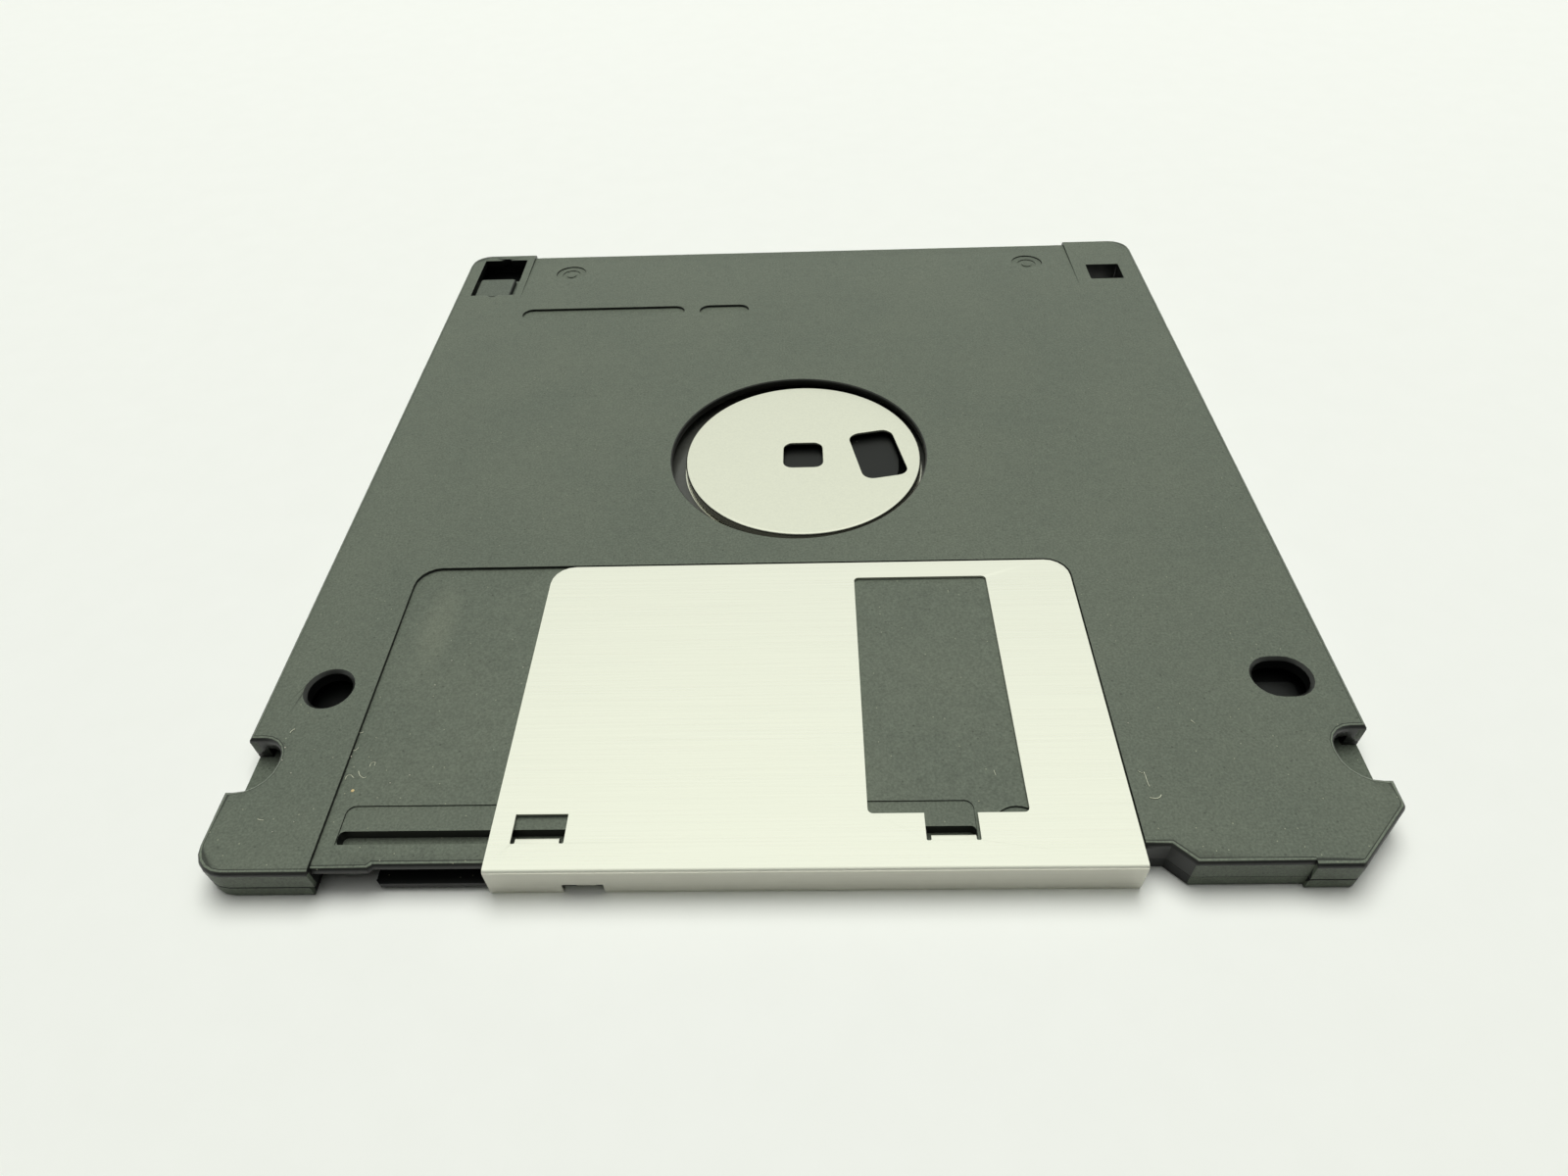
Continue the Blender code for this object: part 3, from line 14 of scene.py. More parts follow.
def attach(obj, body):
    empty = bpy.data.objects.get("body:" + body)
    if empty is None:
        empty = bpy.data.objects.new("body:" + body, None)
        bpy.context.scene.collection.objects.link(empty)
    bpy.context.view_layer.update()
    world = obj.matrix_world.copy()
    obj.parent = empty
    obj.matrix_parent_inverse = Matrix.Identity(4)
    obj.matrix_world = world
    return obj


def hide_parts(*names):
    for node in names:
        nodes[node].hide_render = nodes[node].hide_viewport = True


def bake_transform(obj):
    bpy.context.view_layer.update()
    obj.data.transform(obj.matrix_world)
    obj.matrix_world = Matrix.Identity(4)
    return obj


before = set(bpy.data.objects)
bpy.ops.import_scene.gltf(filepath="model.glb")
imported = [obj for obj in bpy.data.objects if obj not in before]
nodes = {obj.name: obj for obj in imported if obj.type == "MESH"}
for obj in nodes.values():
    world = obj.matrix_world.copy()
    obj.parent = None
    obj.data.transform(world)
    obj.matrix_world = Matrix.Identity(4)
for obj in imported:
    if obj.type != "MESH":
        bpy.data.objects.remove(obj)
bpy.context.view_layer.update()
scene = bpy.context.scene
scene.view_settings.view_transform = "Standard"


# Camera
# A compact camera at its wide end, held close over the shutter edge and looking down at 46 degrees.
# Its place and lens were solved from the case's standard sizes.
view = bpy.data.cameras.new("view")
view.sensor_width = 36.0
view.lens = 22.616
view.clip_start = 0.005
view.clip_end = 20.0
camera = bpy.data.objects.new("camera", view)
camera.location = (0.0011154, -0.081863, 0.0680697)
camera.rotation_euler = (0.7726516, 0.0307077, 0.0077641)
scene.collection.objects.link(camera)
scene.camera = camera


def add_node(tree, kind, values=(), **settings):
    """Adds a node with its settings, and sets its inputs by name or number."""
    node = tree.nodes.new(kind)
    for key, value in settings.items():
        setattr(node, key, value)
    for key, value in dict(values).items():
        node.inputs[key].default_value = value
    return node


# Room and floor
# A bright room ahead and overhead, and a dark one behind the camera, as round the photographer.
# The cartridge lies on a white table, which is no part of it.
TABLE_REACH = 2.0
TABLE_COLOUR = (0.905, 0.93, 0.862, 1.0)
BRUSHMARK_COLOUR = (0.88, 0.905, 0.835, 1.0)
SHADE_COLOUR = (0.02, 0.02, 0.02, 1.0)
SHADED_FROM = -0.072
BACKDROP_COLOUR = (0.9, 0.925, 0.865, 1.0)
ROOM_COLOUR = (0.95, 1.0, 0.92, 1.0)
ROOM_BRIGHT = 1.0
ROOM_DARK = 0.22
# Each lamp's name, size, power and place.
LAMPS = (
    ("window_panel", 1.2, 18.6, (0.02, 0.5, 1.44)),
    ("ceiling_panel", 2.0, 7.7, (0.05, 0.1, 1.2)),
)

room = bpy.data.worlds.new("room")
room.use_nodes = True
scene.world = room
tree = room.node_tree
tree.nodes.clear()
direction = add_node(tree, "ShaderNodeTexCoord")
split = add_node(tree, "ShaderNodeSeparateXYZ")
ahead = add_node(
    tree,
    "ShaderNodeMapRange",
    {"From Min": -0.75, "From Max": -0.4, "To Min": ROOM_DARK, "To Max": ROOM_BRIGHT},
    interpolation_type="SMOOTHSTEP",
)
higher = add_node(
    tree,
    "ShaderNodeMapRange",
    {"From Min": 0.55, "From Max": 0.9, "To Min": 0.88, "To Max": 1.08},
)
strength = add_node(tree, "ShaderNodeMath", operation="MULTIPLY")
path = add_node(tree, "ShaderNodeLightPath")
lit_room = add_node(tree, "ShaderNodeBackground", {"Color": ROOM_COLOUR})
backdrop = add_node(tree, "ShaderNodeBackground", {"Color": BACKDROP_COLOUR, "Strength": 1.0})
mix = add_node(tree, "ShaderNodeMixShader")
output = add_node(tree, "ShaderNodeOutputWorld")
tree.links.new(direction.outputs["Generated"], split.inputs[0])
tree.links.new(split.outputs["Y"], ahead.inputs["Value"])
tree.links.new(split.outputs["Z"], higher.inputs["Value"])
tree.links.new(ahead.outputs["Result"], strength.inputs[0])
tree.links.new(higher.outputs["Result"], strength.inputs[1])
tree.links.new(strength.outputs[0], lit_room.inputs["Strength"])
tree.links.new(path.outputs["Is Camera Ray"], mix.inputs["Fac"])
tree.links.new(lit_room.outputs[0], mix.inputs[1])
tree.links.new(backdrop.outputs[0], mix.inputs[2])
tree.links.new(mix.outputs[0], output.inputs["Surface"])

# The room is only seen in reflections. Two panels overhead give the even light and the short soft shadow.
room.cycles_visibility.diffuse = False
for name, size, power, spot in LAMPS:
    lamp = bpy.data.lights.new(name, "AREA")
    lamp.shape = "DISK"
    lamp.size = size
    lamp.energy = power
    lamp_object = bpy.data.objects.new(name, lamp)
    lamp_object.location = spot
    lamp_object.rotation_euler = (-Vector(spot)).to_track_quat("-Z", "Y").to_euler()
    lamp_object.visible_glossy = False
    scene.collection.objects.link(lamp_object)

builder = bmesh.new()
bmesh.ops.create_grid(builder, x_segments=1, y_segments=1, size=TABLE_REACH)
table_mesh = bpy.data.meshes.new("table")
builder.to_mesh(table_mesh)
builder.free()
table = bpy.data.objects.new("table", table_mesh)
scene.collection.objects.link(table)
# White paint. What lies under the camera is in shade, which only the cartridge's reflections show.
table_paint = bpy.data.materials.new("white_table")
table_paint.use_nodes = True
tree = table_paint.node_tree
shader = tree.nodes["Principled BSDF"]
shader.inputs["Roughness"].default_value = 0.8
shader.inputs["Specular IOR Level"].default_value = 0.1
place = add_node(tree, "ShaderNodeTexCoord")
split = add_node(tree, "ShaderNodeSeparateXYZ")
shaded = add_node(tree, "ShaderNodeMath", {1: SHADED_FROM}, operation="LESS_THAN")
path = add_node(tree, "ShaderNodeLightPath")
amount = add_node(tree, "ShaderNodeMath", operation="MULTIPLY")
brushmarks = add_node(tree, "ShaderNodeTexNoise", {"Scale": 220.0, "Detail": 3.0, "Roughness": 0.55})
paint = add_node(tree, "ShaderNodeMix", {"A": TABLE_COLOUR, "B": BRUSHMARK_COLOUR}, data_type="RGBA")
shade = add_node(tree, "ShaderNodeMix", {"B": SHADE_COLOUR}, data_type="RGBA")
tree.links.new(place.outputs["Object"], split.inputs[0])
tree.links.new(place.outputs["Object"], brushmarks.inputs["Vector"])
tree.links.new(split.outputs["Y"], shaded.inputs[0])
tree.links.new(shaded.outputs[0], amount.inputs[0])
tree.links.new(path.outputs["Is Glossy Ray"], amount.inputs[1])
tree.links.new(brushmarks.outputs["Fac"], paint.inputs["Factor"])
tree.links.new(paint.outputs["Result"], shade.inputs["A"])
tree.links.new(amount.outputs[0], shade.inputs["Factor"])
tree.links.new(shade.outputs["Result"], shader.inputs["Base Color"])
table_mesh.materials.append(table_paint)


# Label-side shell
# The lower half of the case, moulded in black plastic with a fine matte spark-eroded face.
# It lies on the table, and shows in the notches, the sensor hole and along the front.
MERGE_DISTANCE = 2e-7
FLAT_ANGLE = math.radians(0.5)
SHARP_ANGLE = math.radians(40)
MOULDED_EDGE = 0.00004


def dress(node, name, finish, body=None, bevel=0.0):
    """A merged copy of a CAD node with smooth shading and fine rounded edges, which stands for the node."""
    mesh = nodes[node].data.copy()
    mesh.name = name
    mesh.materials.clear()
    mesh.materials.append(finish)
    builder = bmesh.new()
    builder.from_mesh(mesh)
    bmesh.ops.remove_doubles(builder, verts=builder.verts, dist=MERGE_DISTANCE)
    bmesh.ops.dissolve_limit(builder, angle_limit=FLAT_ANGLE, verts=builder.verts, edges=builder.edges)
    if bevel:
        folds = [edge for edge in builder.edges if len(edge.link_faces) == 2]
        sharp = [edge for edge in folds if edge.calc_face_angle(0.0) > SHARP_ANGLE]
        bmesh.ops.bevel(
            builder,
            geom=sharp,
            offset=bevel,
            offset_type="OFFSET",
            segments=2,
            profile=0.5,
            affect="EDGES",
            clamp_overlap=True,
            material=-1,
        )
    bmesh.ops.triangulate(builder, faces=[f for f in builder.faces if len(f.verts) > 4])
    builder.to_mesh(mesh)
    builder.free()
    mesh.shade_smooth()
    mesh.set_sharp_from_angle(angle=SHARP_ANGLE)
    piece = bpy.data.objects.new(name, mesh)
    scene.collection.objects.link(piece)
    if body:
        even_normals = piece.modifiers.new("even_normals", "WEIGHTED_NORMAL")
        even_normals.keep_sharp = True
        even_normals.weight = 100
        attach(piece, body)
    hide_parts(node)
    return piece


def new_group(name, inputs, outputs):
    """A shader node group with its sockets, each a name, a kind and a first value."""
    group = bpy.data.node_groups.new(name, "ShaderNodeTree")
    for socket, kind, value in inputs:
        item = group.interface.new_socket(socket, in_out="INPUT", socket_type=kind)
        item.default_value = value
    for socket, kind in outputs:
        group.interface.new_socket(socket, in_out="OUTPUT", socket_type=kind)
    return group, group.nodes.new("NodeGroupInput"), group.nodes.new("NodeGroupOutput")


# Moulded surface: the outer faces have the fine pits of a spark-eroded mould, which make them matte and
# greyer. The lower half of each rounding and the inside are smooth and black, but for the notch floors.
# That black is darker than the plastic: painted shade on the inner walls and on walls set back from the
# outline, and a painted reflection of the dark room behind the camera on the roundings.
NOISE_RANGE = {"From Min": 0.3, "From Max": 0.7}
NOTCH_INNER_SIDE = 0.0408
NOTCH_BACK = -0.0322
# Outer walls beyond these are matte. Walls set back from them get the smooth black as painted shade.
OUTER_SIDE = 0.0444
OUTER_END = 0.04665
RIM_SIDE = 0.0365
RIM_END = 0.0445
# Painted light along the case's roundings, by how far the surface faces out: black where it turns down, a
# lighter band that is a painted highlight, and a thin dark line next to the face.
RIM_PAINTED_LIGHT = ((0.82, 0.0), (0.87, 1.5), (0.968, 1.5), (0.976, 0.25), (0.9975, 0.25), (0.9988, 1.0))
moulded, moulded_in, moulded_out = new_group(
    "moulded_surface",
    [
        ("Matte Color", "NodeSocketColor", (0.1, 0.1, 0.1, 1.0)),
        ("Smooth Black And Painted Shade", "NodeSocketColor", (0.02, 0.02, 0.02, 1.0)),
        ("Face", "NodeSocketFloat", 1.0),
    ],
    [("Color", "NodeSocketColor"), ("Roughness", "NodeSocketFloat"), ("Height", "NodeSocketFloat")],
)
place = add_node(moulded, "ShaderNodeTexCoord")
across = add_node(moulded, "ShaderNodeSeparateXYZ")
facing = add_node(moulded, "ShaderNodeNewGeometry")
normal = add_node(moulded, "ShaderNodeSeparateXYZ")
outward = add_node(moulded, "ShaderNodeMath", operation="MULTIPLY")
beside = add_node(moulded, "ShaderNodeMath", operation="ABSOLUTE")
endwise = add_node(moulded, "ShaderNodeMath", operation="ABSOLUTE")
in_notch_width = add_node(moulded, "ShaderNodeMath", {1: NOTCH_INNER_SIDE}, operation="GREATER_THAN")
in_notch_length = add_node(moulded, "ShaderNodeMath", {1: NOTCH_BACK}, operation="LESS_THAN")
in_notch = add_node(moulded, "ShaderNodeMath", operation="MULTIPLY")
notch_floor = add_node(moulded, "ShaderNodeMath", operation="MULTIPLY")
at_side = add_node(moulded, "ShaderNodeMath", {1: OUTER_SIDE}, operation="GREATER_THAN")
at_end = add_node(moulded, "ShaderNodeMath", {1: OUTER_END}, operation="GREATER_THAN")
at_edge = add_node(moulded, "ShaderNodeMath", operation="MAXIMUM")
steep = add_node(moulded, "ShaderNodeMath", operation="ABSOLUTE")
upright = add_node(moulded, "ShaderNodeMath", {1: 0.08}, operation="LESS_THAN")
outer_wall = add_node(moulded, "ShaderNodeMath", operation="MULTIPLY")
floor_or_wall = add_node(moulded, "ShaderNodeMath", operation="MAXIMUM")
either = add_node(moulded, "ShaderNodeMath", operation="MAXIMUM")
matte = add_node(moulded, "ShaderNodeMapRange", {"From Min": 0.82, "From Max": 0.87})
# A painted highlight and painted dark lines on the matte tone, used only near the outline of the case and by
# the locating holes.
rim_painted_light = add_node(moulded, "ShaderNodeValToRGB")
for position, level in RIM_PAINTED_LIGHT:
    rim_painted_light.color_ramp.elements.new(position).color = (level, level, level, 1.0)
near_side = add_node(moulded, "ShaderNodeMath", {1: RIM_SIDE}, operation="GREATER_THAN")
near_end = add_node(moulded, "ShaderNodeMath", {1: RIM_END}, operation="GREATER_THAN")
front_half = add_node(moulded, "ShaderNodeMath", {1: 0.0}, operation="LESS_THAN")
near_hole = add_node(moulded, "ShaderNodeMath", operation="MULTIPLY")
near_edge = add_node(moulded, "ShaderNodeMath", operation="MAXIMUM")
at_rim = add_node(moulded, "ShaderNodeMath", operation="MAXIMUM")
rim_shown = add_node(moulded, "ShaderNodeMix", {"A": 1.0}, data_type="FLOAT")
tone_with_painted_rim_light = add_node(moulded, "ShaderNodeMath", operation="MULTIPLY")
grain = add_node(moulded, "ShaderNodeTexNoise", {"Scale": 5200.0, "Detail": 2.0, "Roughness": 0.6})
grain_tone = add_node(moulded, "ShaderNodeMapRange", {**NOISE_RANGE, "To Min": 0.74, "To Max": 1.26})
clouding = add_node(moulded, "ShaderNodeTexNoise", {"Scale": 900.0, "Detail": 3.0, "Roughness": 0.6})
cloud_tone = add_node(moulded, "ShaderNodeMapRange", {**NOISE_RANGE, "To Min": 0.94, "To Max": 1.06})
pits = add_node(moulded, "ShaderNodeTexVoronoi", {"Scale": 1500.0})
in_pit = add_node(moulded, "ShaderNodeMath", {1: 0.14}, operation="LESS_THAN")
pit_choice = add_node(moulded, "ShaderNodeSeparateColor")
pitted = add_node(moulded, "ShaderNodeMath", {1: 0.7}, operation="GREATER_THAN")
pit = add_node(moulded, "ShaderNodeMath", operation="MULTIPLY")
pit_tone = add_node(moulded, "ShaderNodeMapRange", {"To Min": 1.0, "To Max": 0.62})
all_tone = add_node(moulded, "ShaderNodeMath", operation="MULTIPLY")
final_tone = add_node(moulded, "ShaderNodeMath", operation="MULTIPLY")
tone = add_node(moulded, "ShaderNodeMix", {"Factor": 1.0}, data_type="RGBA", blend_type="MULTIPLY")
shown = add_node(moulded, "ShaderNodeMix", data_type="RGBA")
rough = add_node(moulded, "ShaderNodeMapRange", {"To Min": 0.36, "To Max": 0.56})
depth = add_node(moulded, "ShaderNodeMath", operation="MULTIPLY")
link = moulded.links.new
link(place.outputs["Object"], across.inputs[0])
link(across.outputs["X"], beside.inputs[0])
link(across.outputs["Y"], endwise.inputs[0])
link(across.outputs["Y"], in_notch_length.inputs[0])
link(beside.outputs[0], in_notch_width.inputs[0])
link(in_notch_width.outputs[0], in_notch.inputs[0])
link(in_notch_length.outputs[0], in_notch.inputs[1])
link(facing.outputs["Normal"], normal.inputs[0])
link(normal.outputs["Z"], notch_floor.inputs[0])
link(in_notch.outputs[0], notch_floor.inputs[1])
link(beside.outputs[0], at_side.inputs[0])
link(endwise.outputs[0], at_end.inputs[0])
link(at_side.outputs[0], at_edge.inputs[0])
link(at_end.outputs[0], at_edge.inputs[1])
link(normal.outputs["Z"], steep.inputs[0])
link(steep.outputs[0], upright.inputs[0])
link(upright.outputs[0], outer_wall.inputs[0])
link(at_edge.outputs[0], outer_wall.inputs[1])
link(notch_floor.outputs[0], floor_or_wall.inputs[0])
link(outer_wall.outputs[0], floor_or_wall.inputs[1])
link(normal.outputs["Z"], outward.inputs[0])
link(moulded_in.outputs["Face"], outward.inputs[1])
link(outward.outputs[0], either.inputs[0])
link(floor_or_wall.outputs[0], either.inputs[1])
link(either.outputs[0], matte.inputs["Value"])
link(either.outputs[0], rim_painted_light.inputs["Fac"])
link(place.outputs["Object"], grain.inputs["Vector"])
link(place.outputs["Object"], clouding.inputs["Vector"])
link(place.outputs["Object"], pits.inputs["Vector"])
link(grain.outputs["Fac"], grain_tone.inputs["Value"])
link(clouding.outputs["Fac"], cloud_tone.inputs["Value"])
link(pits.outputs["Distance"], in_pit.inputs[0])
link(pits.outputs["Color"], pit_choice.inputs["Color"])
link(pit_choice.outputs["Green"], pitted.inputs[0])
link(in_pit.outputs[0], pit.inputs[0])
link(pitted.outputs[0], pit.inputs[1])
link(pit.outputs[0], pit_tone.inputs["Value"])
link(grain_tone.outputs["Result"], all_tone.inputs[0])
link(cloud_tone.outputs["Result"], all_tone.inputs[1])
link(all_tone.outputs[0], final_tone.inputs[0])
link(pit_tone.outputs["Result"], final_tone.inputs[1])
link(beside.outputs[0], near_side.inputs[0])
link(endwise.outputs[0], near_end.inputs[0])
link(across.outputs["Y"], front_half.inputs[0])
link(near_side.outputs[0], near_hole.inputs[0])
link(front_half.outputs[0], near_hole.inputs[1])
link(at_side.outputs[0], near_edge.inputs[0])
link(near_end.outputs[0], near_edge.inputs[1])
link(near_hole.outputs[0], at_rim.inputs[0])
link(near_edge.outputs[0], at_rim.inputs[1])
link(at_rim.outputs[0], rim_shown.inputs["Factor"])
link(rim_painted_light.outputs["Color"], rim_shown.inputs["B"])
link(final_tone.outputs[0], tone_with_painted_rim_light.inputs[0])
link(rim_shown.outputs["Result"], tone_with_painted_rim_light.inputs[1])
link(moulded_in.outputs["Matte Color"], tone.inputs["A"])
link(tone_with_painted_rim_light.outputs[0], tone.inputs["B"])
link(matte.outputs["Result"], shown.inputs["Factor"])
link(moulded_in.outputs["Smooth Black And Painted Shade"], shown.inputs["A"])
link(tone.outputs["Result"], shown.inputs["B"])
link(matte.outputs["Result"], rough.inputs["Value"])
link(grain.outputs["Fac"], depth.inputs[0])
link(matte.outputs["Result"], depth.inputs[1])
link(shown.outputs["Result"], moulded_out.inputs["Color"])
link(rough.outputs["Result"], moulded_out.inputs["Roughness"])
link(depth.outputs[0], moulded_out.inputs["Height"])

# Dust: a thin uneven film, one smudge and single specks, more of them near the front, on what faces up.
DUST_COLOUR = (0.42, 0.44, 0.3, 1.0)
SMUDGE_CENTRE = (-0.0326, -0.0224, 0.003)
SMUDGE_SCALE = (430.0, 140.0, 430.0)
dust, dust_in, dust_out = new_group(
    "dust",
    [
        ("Color", "NodeSocketColor", (0.1, 0.1, 0.1, 1.0)),
        ("Film", "NodeSocketFloat", 0.1),
        ("Specks", "NodeSocketFloat", 0.5),
        ("Smudge", "NodeSocketFloat", 0.0),
    ],
    [("Color", "NodeSocketColor"), ("Cover", "NodeSocketFloat")],
)
place = add_node(dust, "ShaderNodeTexCoord")
clouds = add_node(dust, "ShaderNodeTexNoise", {"Scale": 90.0, "Detail": 4.0, "Roughness": 0.6})
cloud_range = add_node(dust, "ShaderNodeMapRange", {"From Min": 0.35, "From Max": 0.75})
specks = add_node(dust, "ShaderNodeTexVoronoi", {"Scale": 1100.0}, voronoi_dimensions="2D")
near_centre = add_node(dust, "ShaderNodeMath", {1: 0.055}, operation="LESS_THAN")
chosen = add_node(dust, "ShaderNodeSeparateColor")
along = add_node(dust, "ShaderNodeSeparateXYZ")
rarity = add_node(
    dust,
    "ShaderNodeMapRange",
    {"From Min": -0.045, "From Max": -0.012, "To Min": 0.9, "To Max": 0.985},
)
few = add_node(dust, "ShaderNodeMath", operation="GREATER_THAN")
speck = add_node(dust, "ShaderNodeMath", operation="MULTIPLY")
speck_amount = add_node(dust, "ShaderNodeMath", operation="MULTIPLY")
film_amount = add_node(dust, "ShaderNodeMath", operation="MULTIPLY")
from_smudge = add_node(dust, "ShaderNodeVectorMath", {1: SMUDGE_CENTRE}, operation="SUBTRACT")
smudge_scaled = add_node(dust, "ShaderNodeVectorMath", {1: SMUDGE_SCALE}, operation="MULTIPLY")
smudge_distance = add_node(dust, "ShaderNodeVectorMath", operation="LENGTH")
smudge_shape = add_node(
    dust,
    "ShaderNodeMapRange",
    {"From Min": 1.0, "From Max": 0.2, "To Max": 1.0},
    interpolation_type="SMOOTHSTEP",
)
smudge_amount = add_node(dust, "ShaderNodeMath", operation="MULTIPLY")
film_and_smudge = add_node(dust, "ShaderNodeMath", operation="ADD")
facing = add_node(dust, "ShaderNodeNewGeometry")
normal = add_node(dust, "ShaderNodeSeparateXYZ")
upward = add_node(dust, "ShaderNodeMapRange", {"From Min": 0.3, "From Max": 0.9})
total = add_node(dust, "ShaderNodeMath", operation="MAXIMUM")
cover = add_node(dust, "ShaderNodeMath", operation="MULTIPLY", use_clamp=True)
mixed = add_node(dust, "ShaderNodeMix", {"B": DUST_COLOUR}, data_type="RGBA")
link = dust.links.new
link(place.outputs["Object"], clouds.inputs["Vector"])
link(place.outputs["Object"], specks.inputs["Vector"])
link(clouds.outputs["Fac"], cloud_range.inputs["Value"])
link(specks.outputs["Distance"], near_centre.inputs[0])
link(specks.outputs["Color"], chosen.inputs["Color"])
link(place.outputs["Object"], along.inputs[0])
link(along.outputs["Y"], rarity.inputs["Value"])
link(chosen.outputs["Red"], few.inputs[0])
link(rarity.outputs["Result"], few.inputs[1])
link(near_centre.outputs[0], speck.inputs[0])
link(few.outputs[0], speck.inputs[1])
link(speck.outputs[0], speck_amount.inputs[0])
link(dust_in.outputs["Specks"], speck_amount.inputs[1])
link(cloud_range.outputs["Result"], film_amount.inputs[0])
link(dust_in.outputs["Film"], film_amount.inputs[1])
link(facing.outputs["Normal"], normal.inputs[0])
link(normal.outputs["Z"], upward.inputs["Value"])
link(place.outputs["Object"], from_smudge.inputs[0])
link(from_smudge.outputs[0], smudge_scaled.inputs[0])
link(smudge_scaled.outputs[0], smudge_distance.inputs[0])
link(smudge_distance.outputs["Value"], smudge_shape.inputs["Value"])
link(smudge_shape.outputs["Result"], smudge_amount.inputs[0])
link(dust_in.outputs["Smudge"], smudge_amount.inputs[1])
link(film_amount.outputs[0], film_and_smudge.inputs[0])
link(smudge_amount.outputs[0], film_and_smudge.inputs[1])
link(film_and_smudge.outputs[0], total.inputs[0])
link(speck_amount.outputs[0], total.inputs[1])
link(total.outputs[0], cover.inputs[0])
link(upward.outputs["Result"], cover.inputs[1])
link(cover.outputs[0], mixed.inputs["Factor"])
link(dust_in.outputs["Color"], mixed.inputs["A"])
link(mixed.outputs["Result"], dust_out.inputs["Color"])
link(cover.outputs[0], dust_out.inputs["Cover"])


def moulded_plastic(name, matte_colour, face, film, speck_amount, grain, smudge=0.0, specular=0.5):
    """Moulded plastic with dust on what faces up. Face is 1 with the outer face up, and -1 with it down."""
    finish = bpy.data.materials.new(name)
    finish.use_nodes = True
    tree = finish.node_tree
    shader = tree.nodes["Principled BSDF"]
    shader.inputs["IOR"].default_value = 1.46
    shader.inputs["Specular IOR Level"].default_value = specular
    surface = add_node(tree, "ShaderNodeGroup", node_tree=moulded)
    surface.inputs["Matte Color"].default_value = matte_colour
    surface.inputs["Smooth Black And Painted Shade"].default_value = SMOOTH_BLACK_AND_PAINTED_SHADE
    surface.inputs["Face"].default_value = face
    dirt = add_node(tree, "ShaderNodeGroup", node_tree=dust)
    dirt.inputs["Film"].default_value = film
    dirt.inputs["Specks"].default_value = speck_amount
    dirt.inputs["Smudge"].default_value = smudge
    bump = add_node(tree, "ShaderNodeBump", {"Strength": 1.0, "Distance": grain})
    rough = add_node(tree, "ShaderNodeMix", {"B": 0.9}, data_type="FLOAT")
    tree.links.new(surface.outputs["Color"], dirt.inputs["Color"])
    tree.links.new(dirt.outputs["Color"], shader.inputs["Base Color"])
    tree.links.new(dirt.outputs["Cover"], rough.inputs["Factor"])
    tree.links.new(surface.outputs["Roughness"], rough.inputs["A"])
    tree.links.new(rough.outputs["Result"], shader.inputs["Roughness"])
    tree.links.new(surface.outputs["Height"], bump.inputs["Height"])
    tree.links.new(bump.outputs["Normal"], shader.inputs["Normal"])
    return finish


MATTE_BLACK = (0.0925, 0.1105, 0.081, 1.0)
# Near black: the smooth plastic with painted shade and a painted dark reflection, darker than the plastic
# itself.
SMOOTH_BLACK_AND_PAINTED_SHADE = (0.005, 0.0055, 0.005, 1.0)
MOULD_GRAIN = 0.000012
lower_plastic = moulded_plastic(
    "lower_plastic",
    MATTE_BLACK,
    face=-1.0,
    film=0.0,
    speck_amount=0.3,
    grain=MOULD_GRAIN,
    specular=0.3,
)
dress("label_side_shell", "lower_shell", lower_plastic, "housing", MOULDED_EDGE)


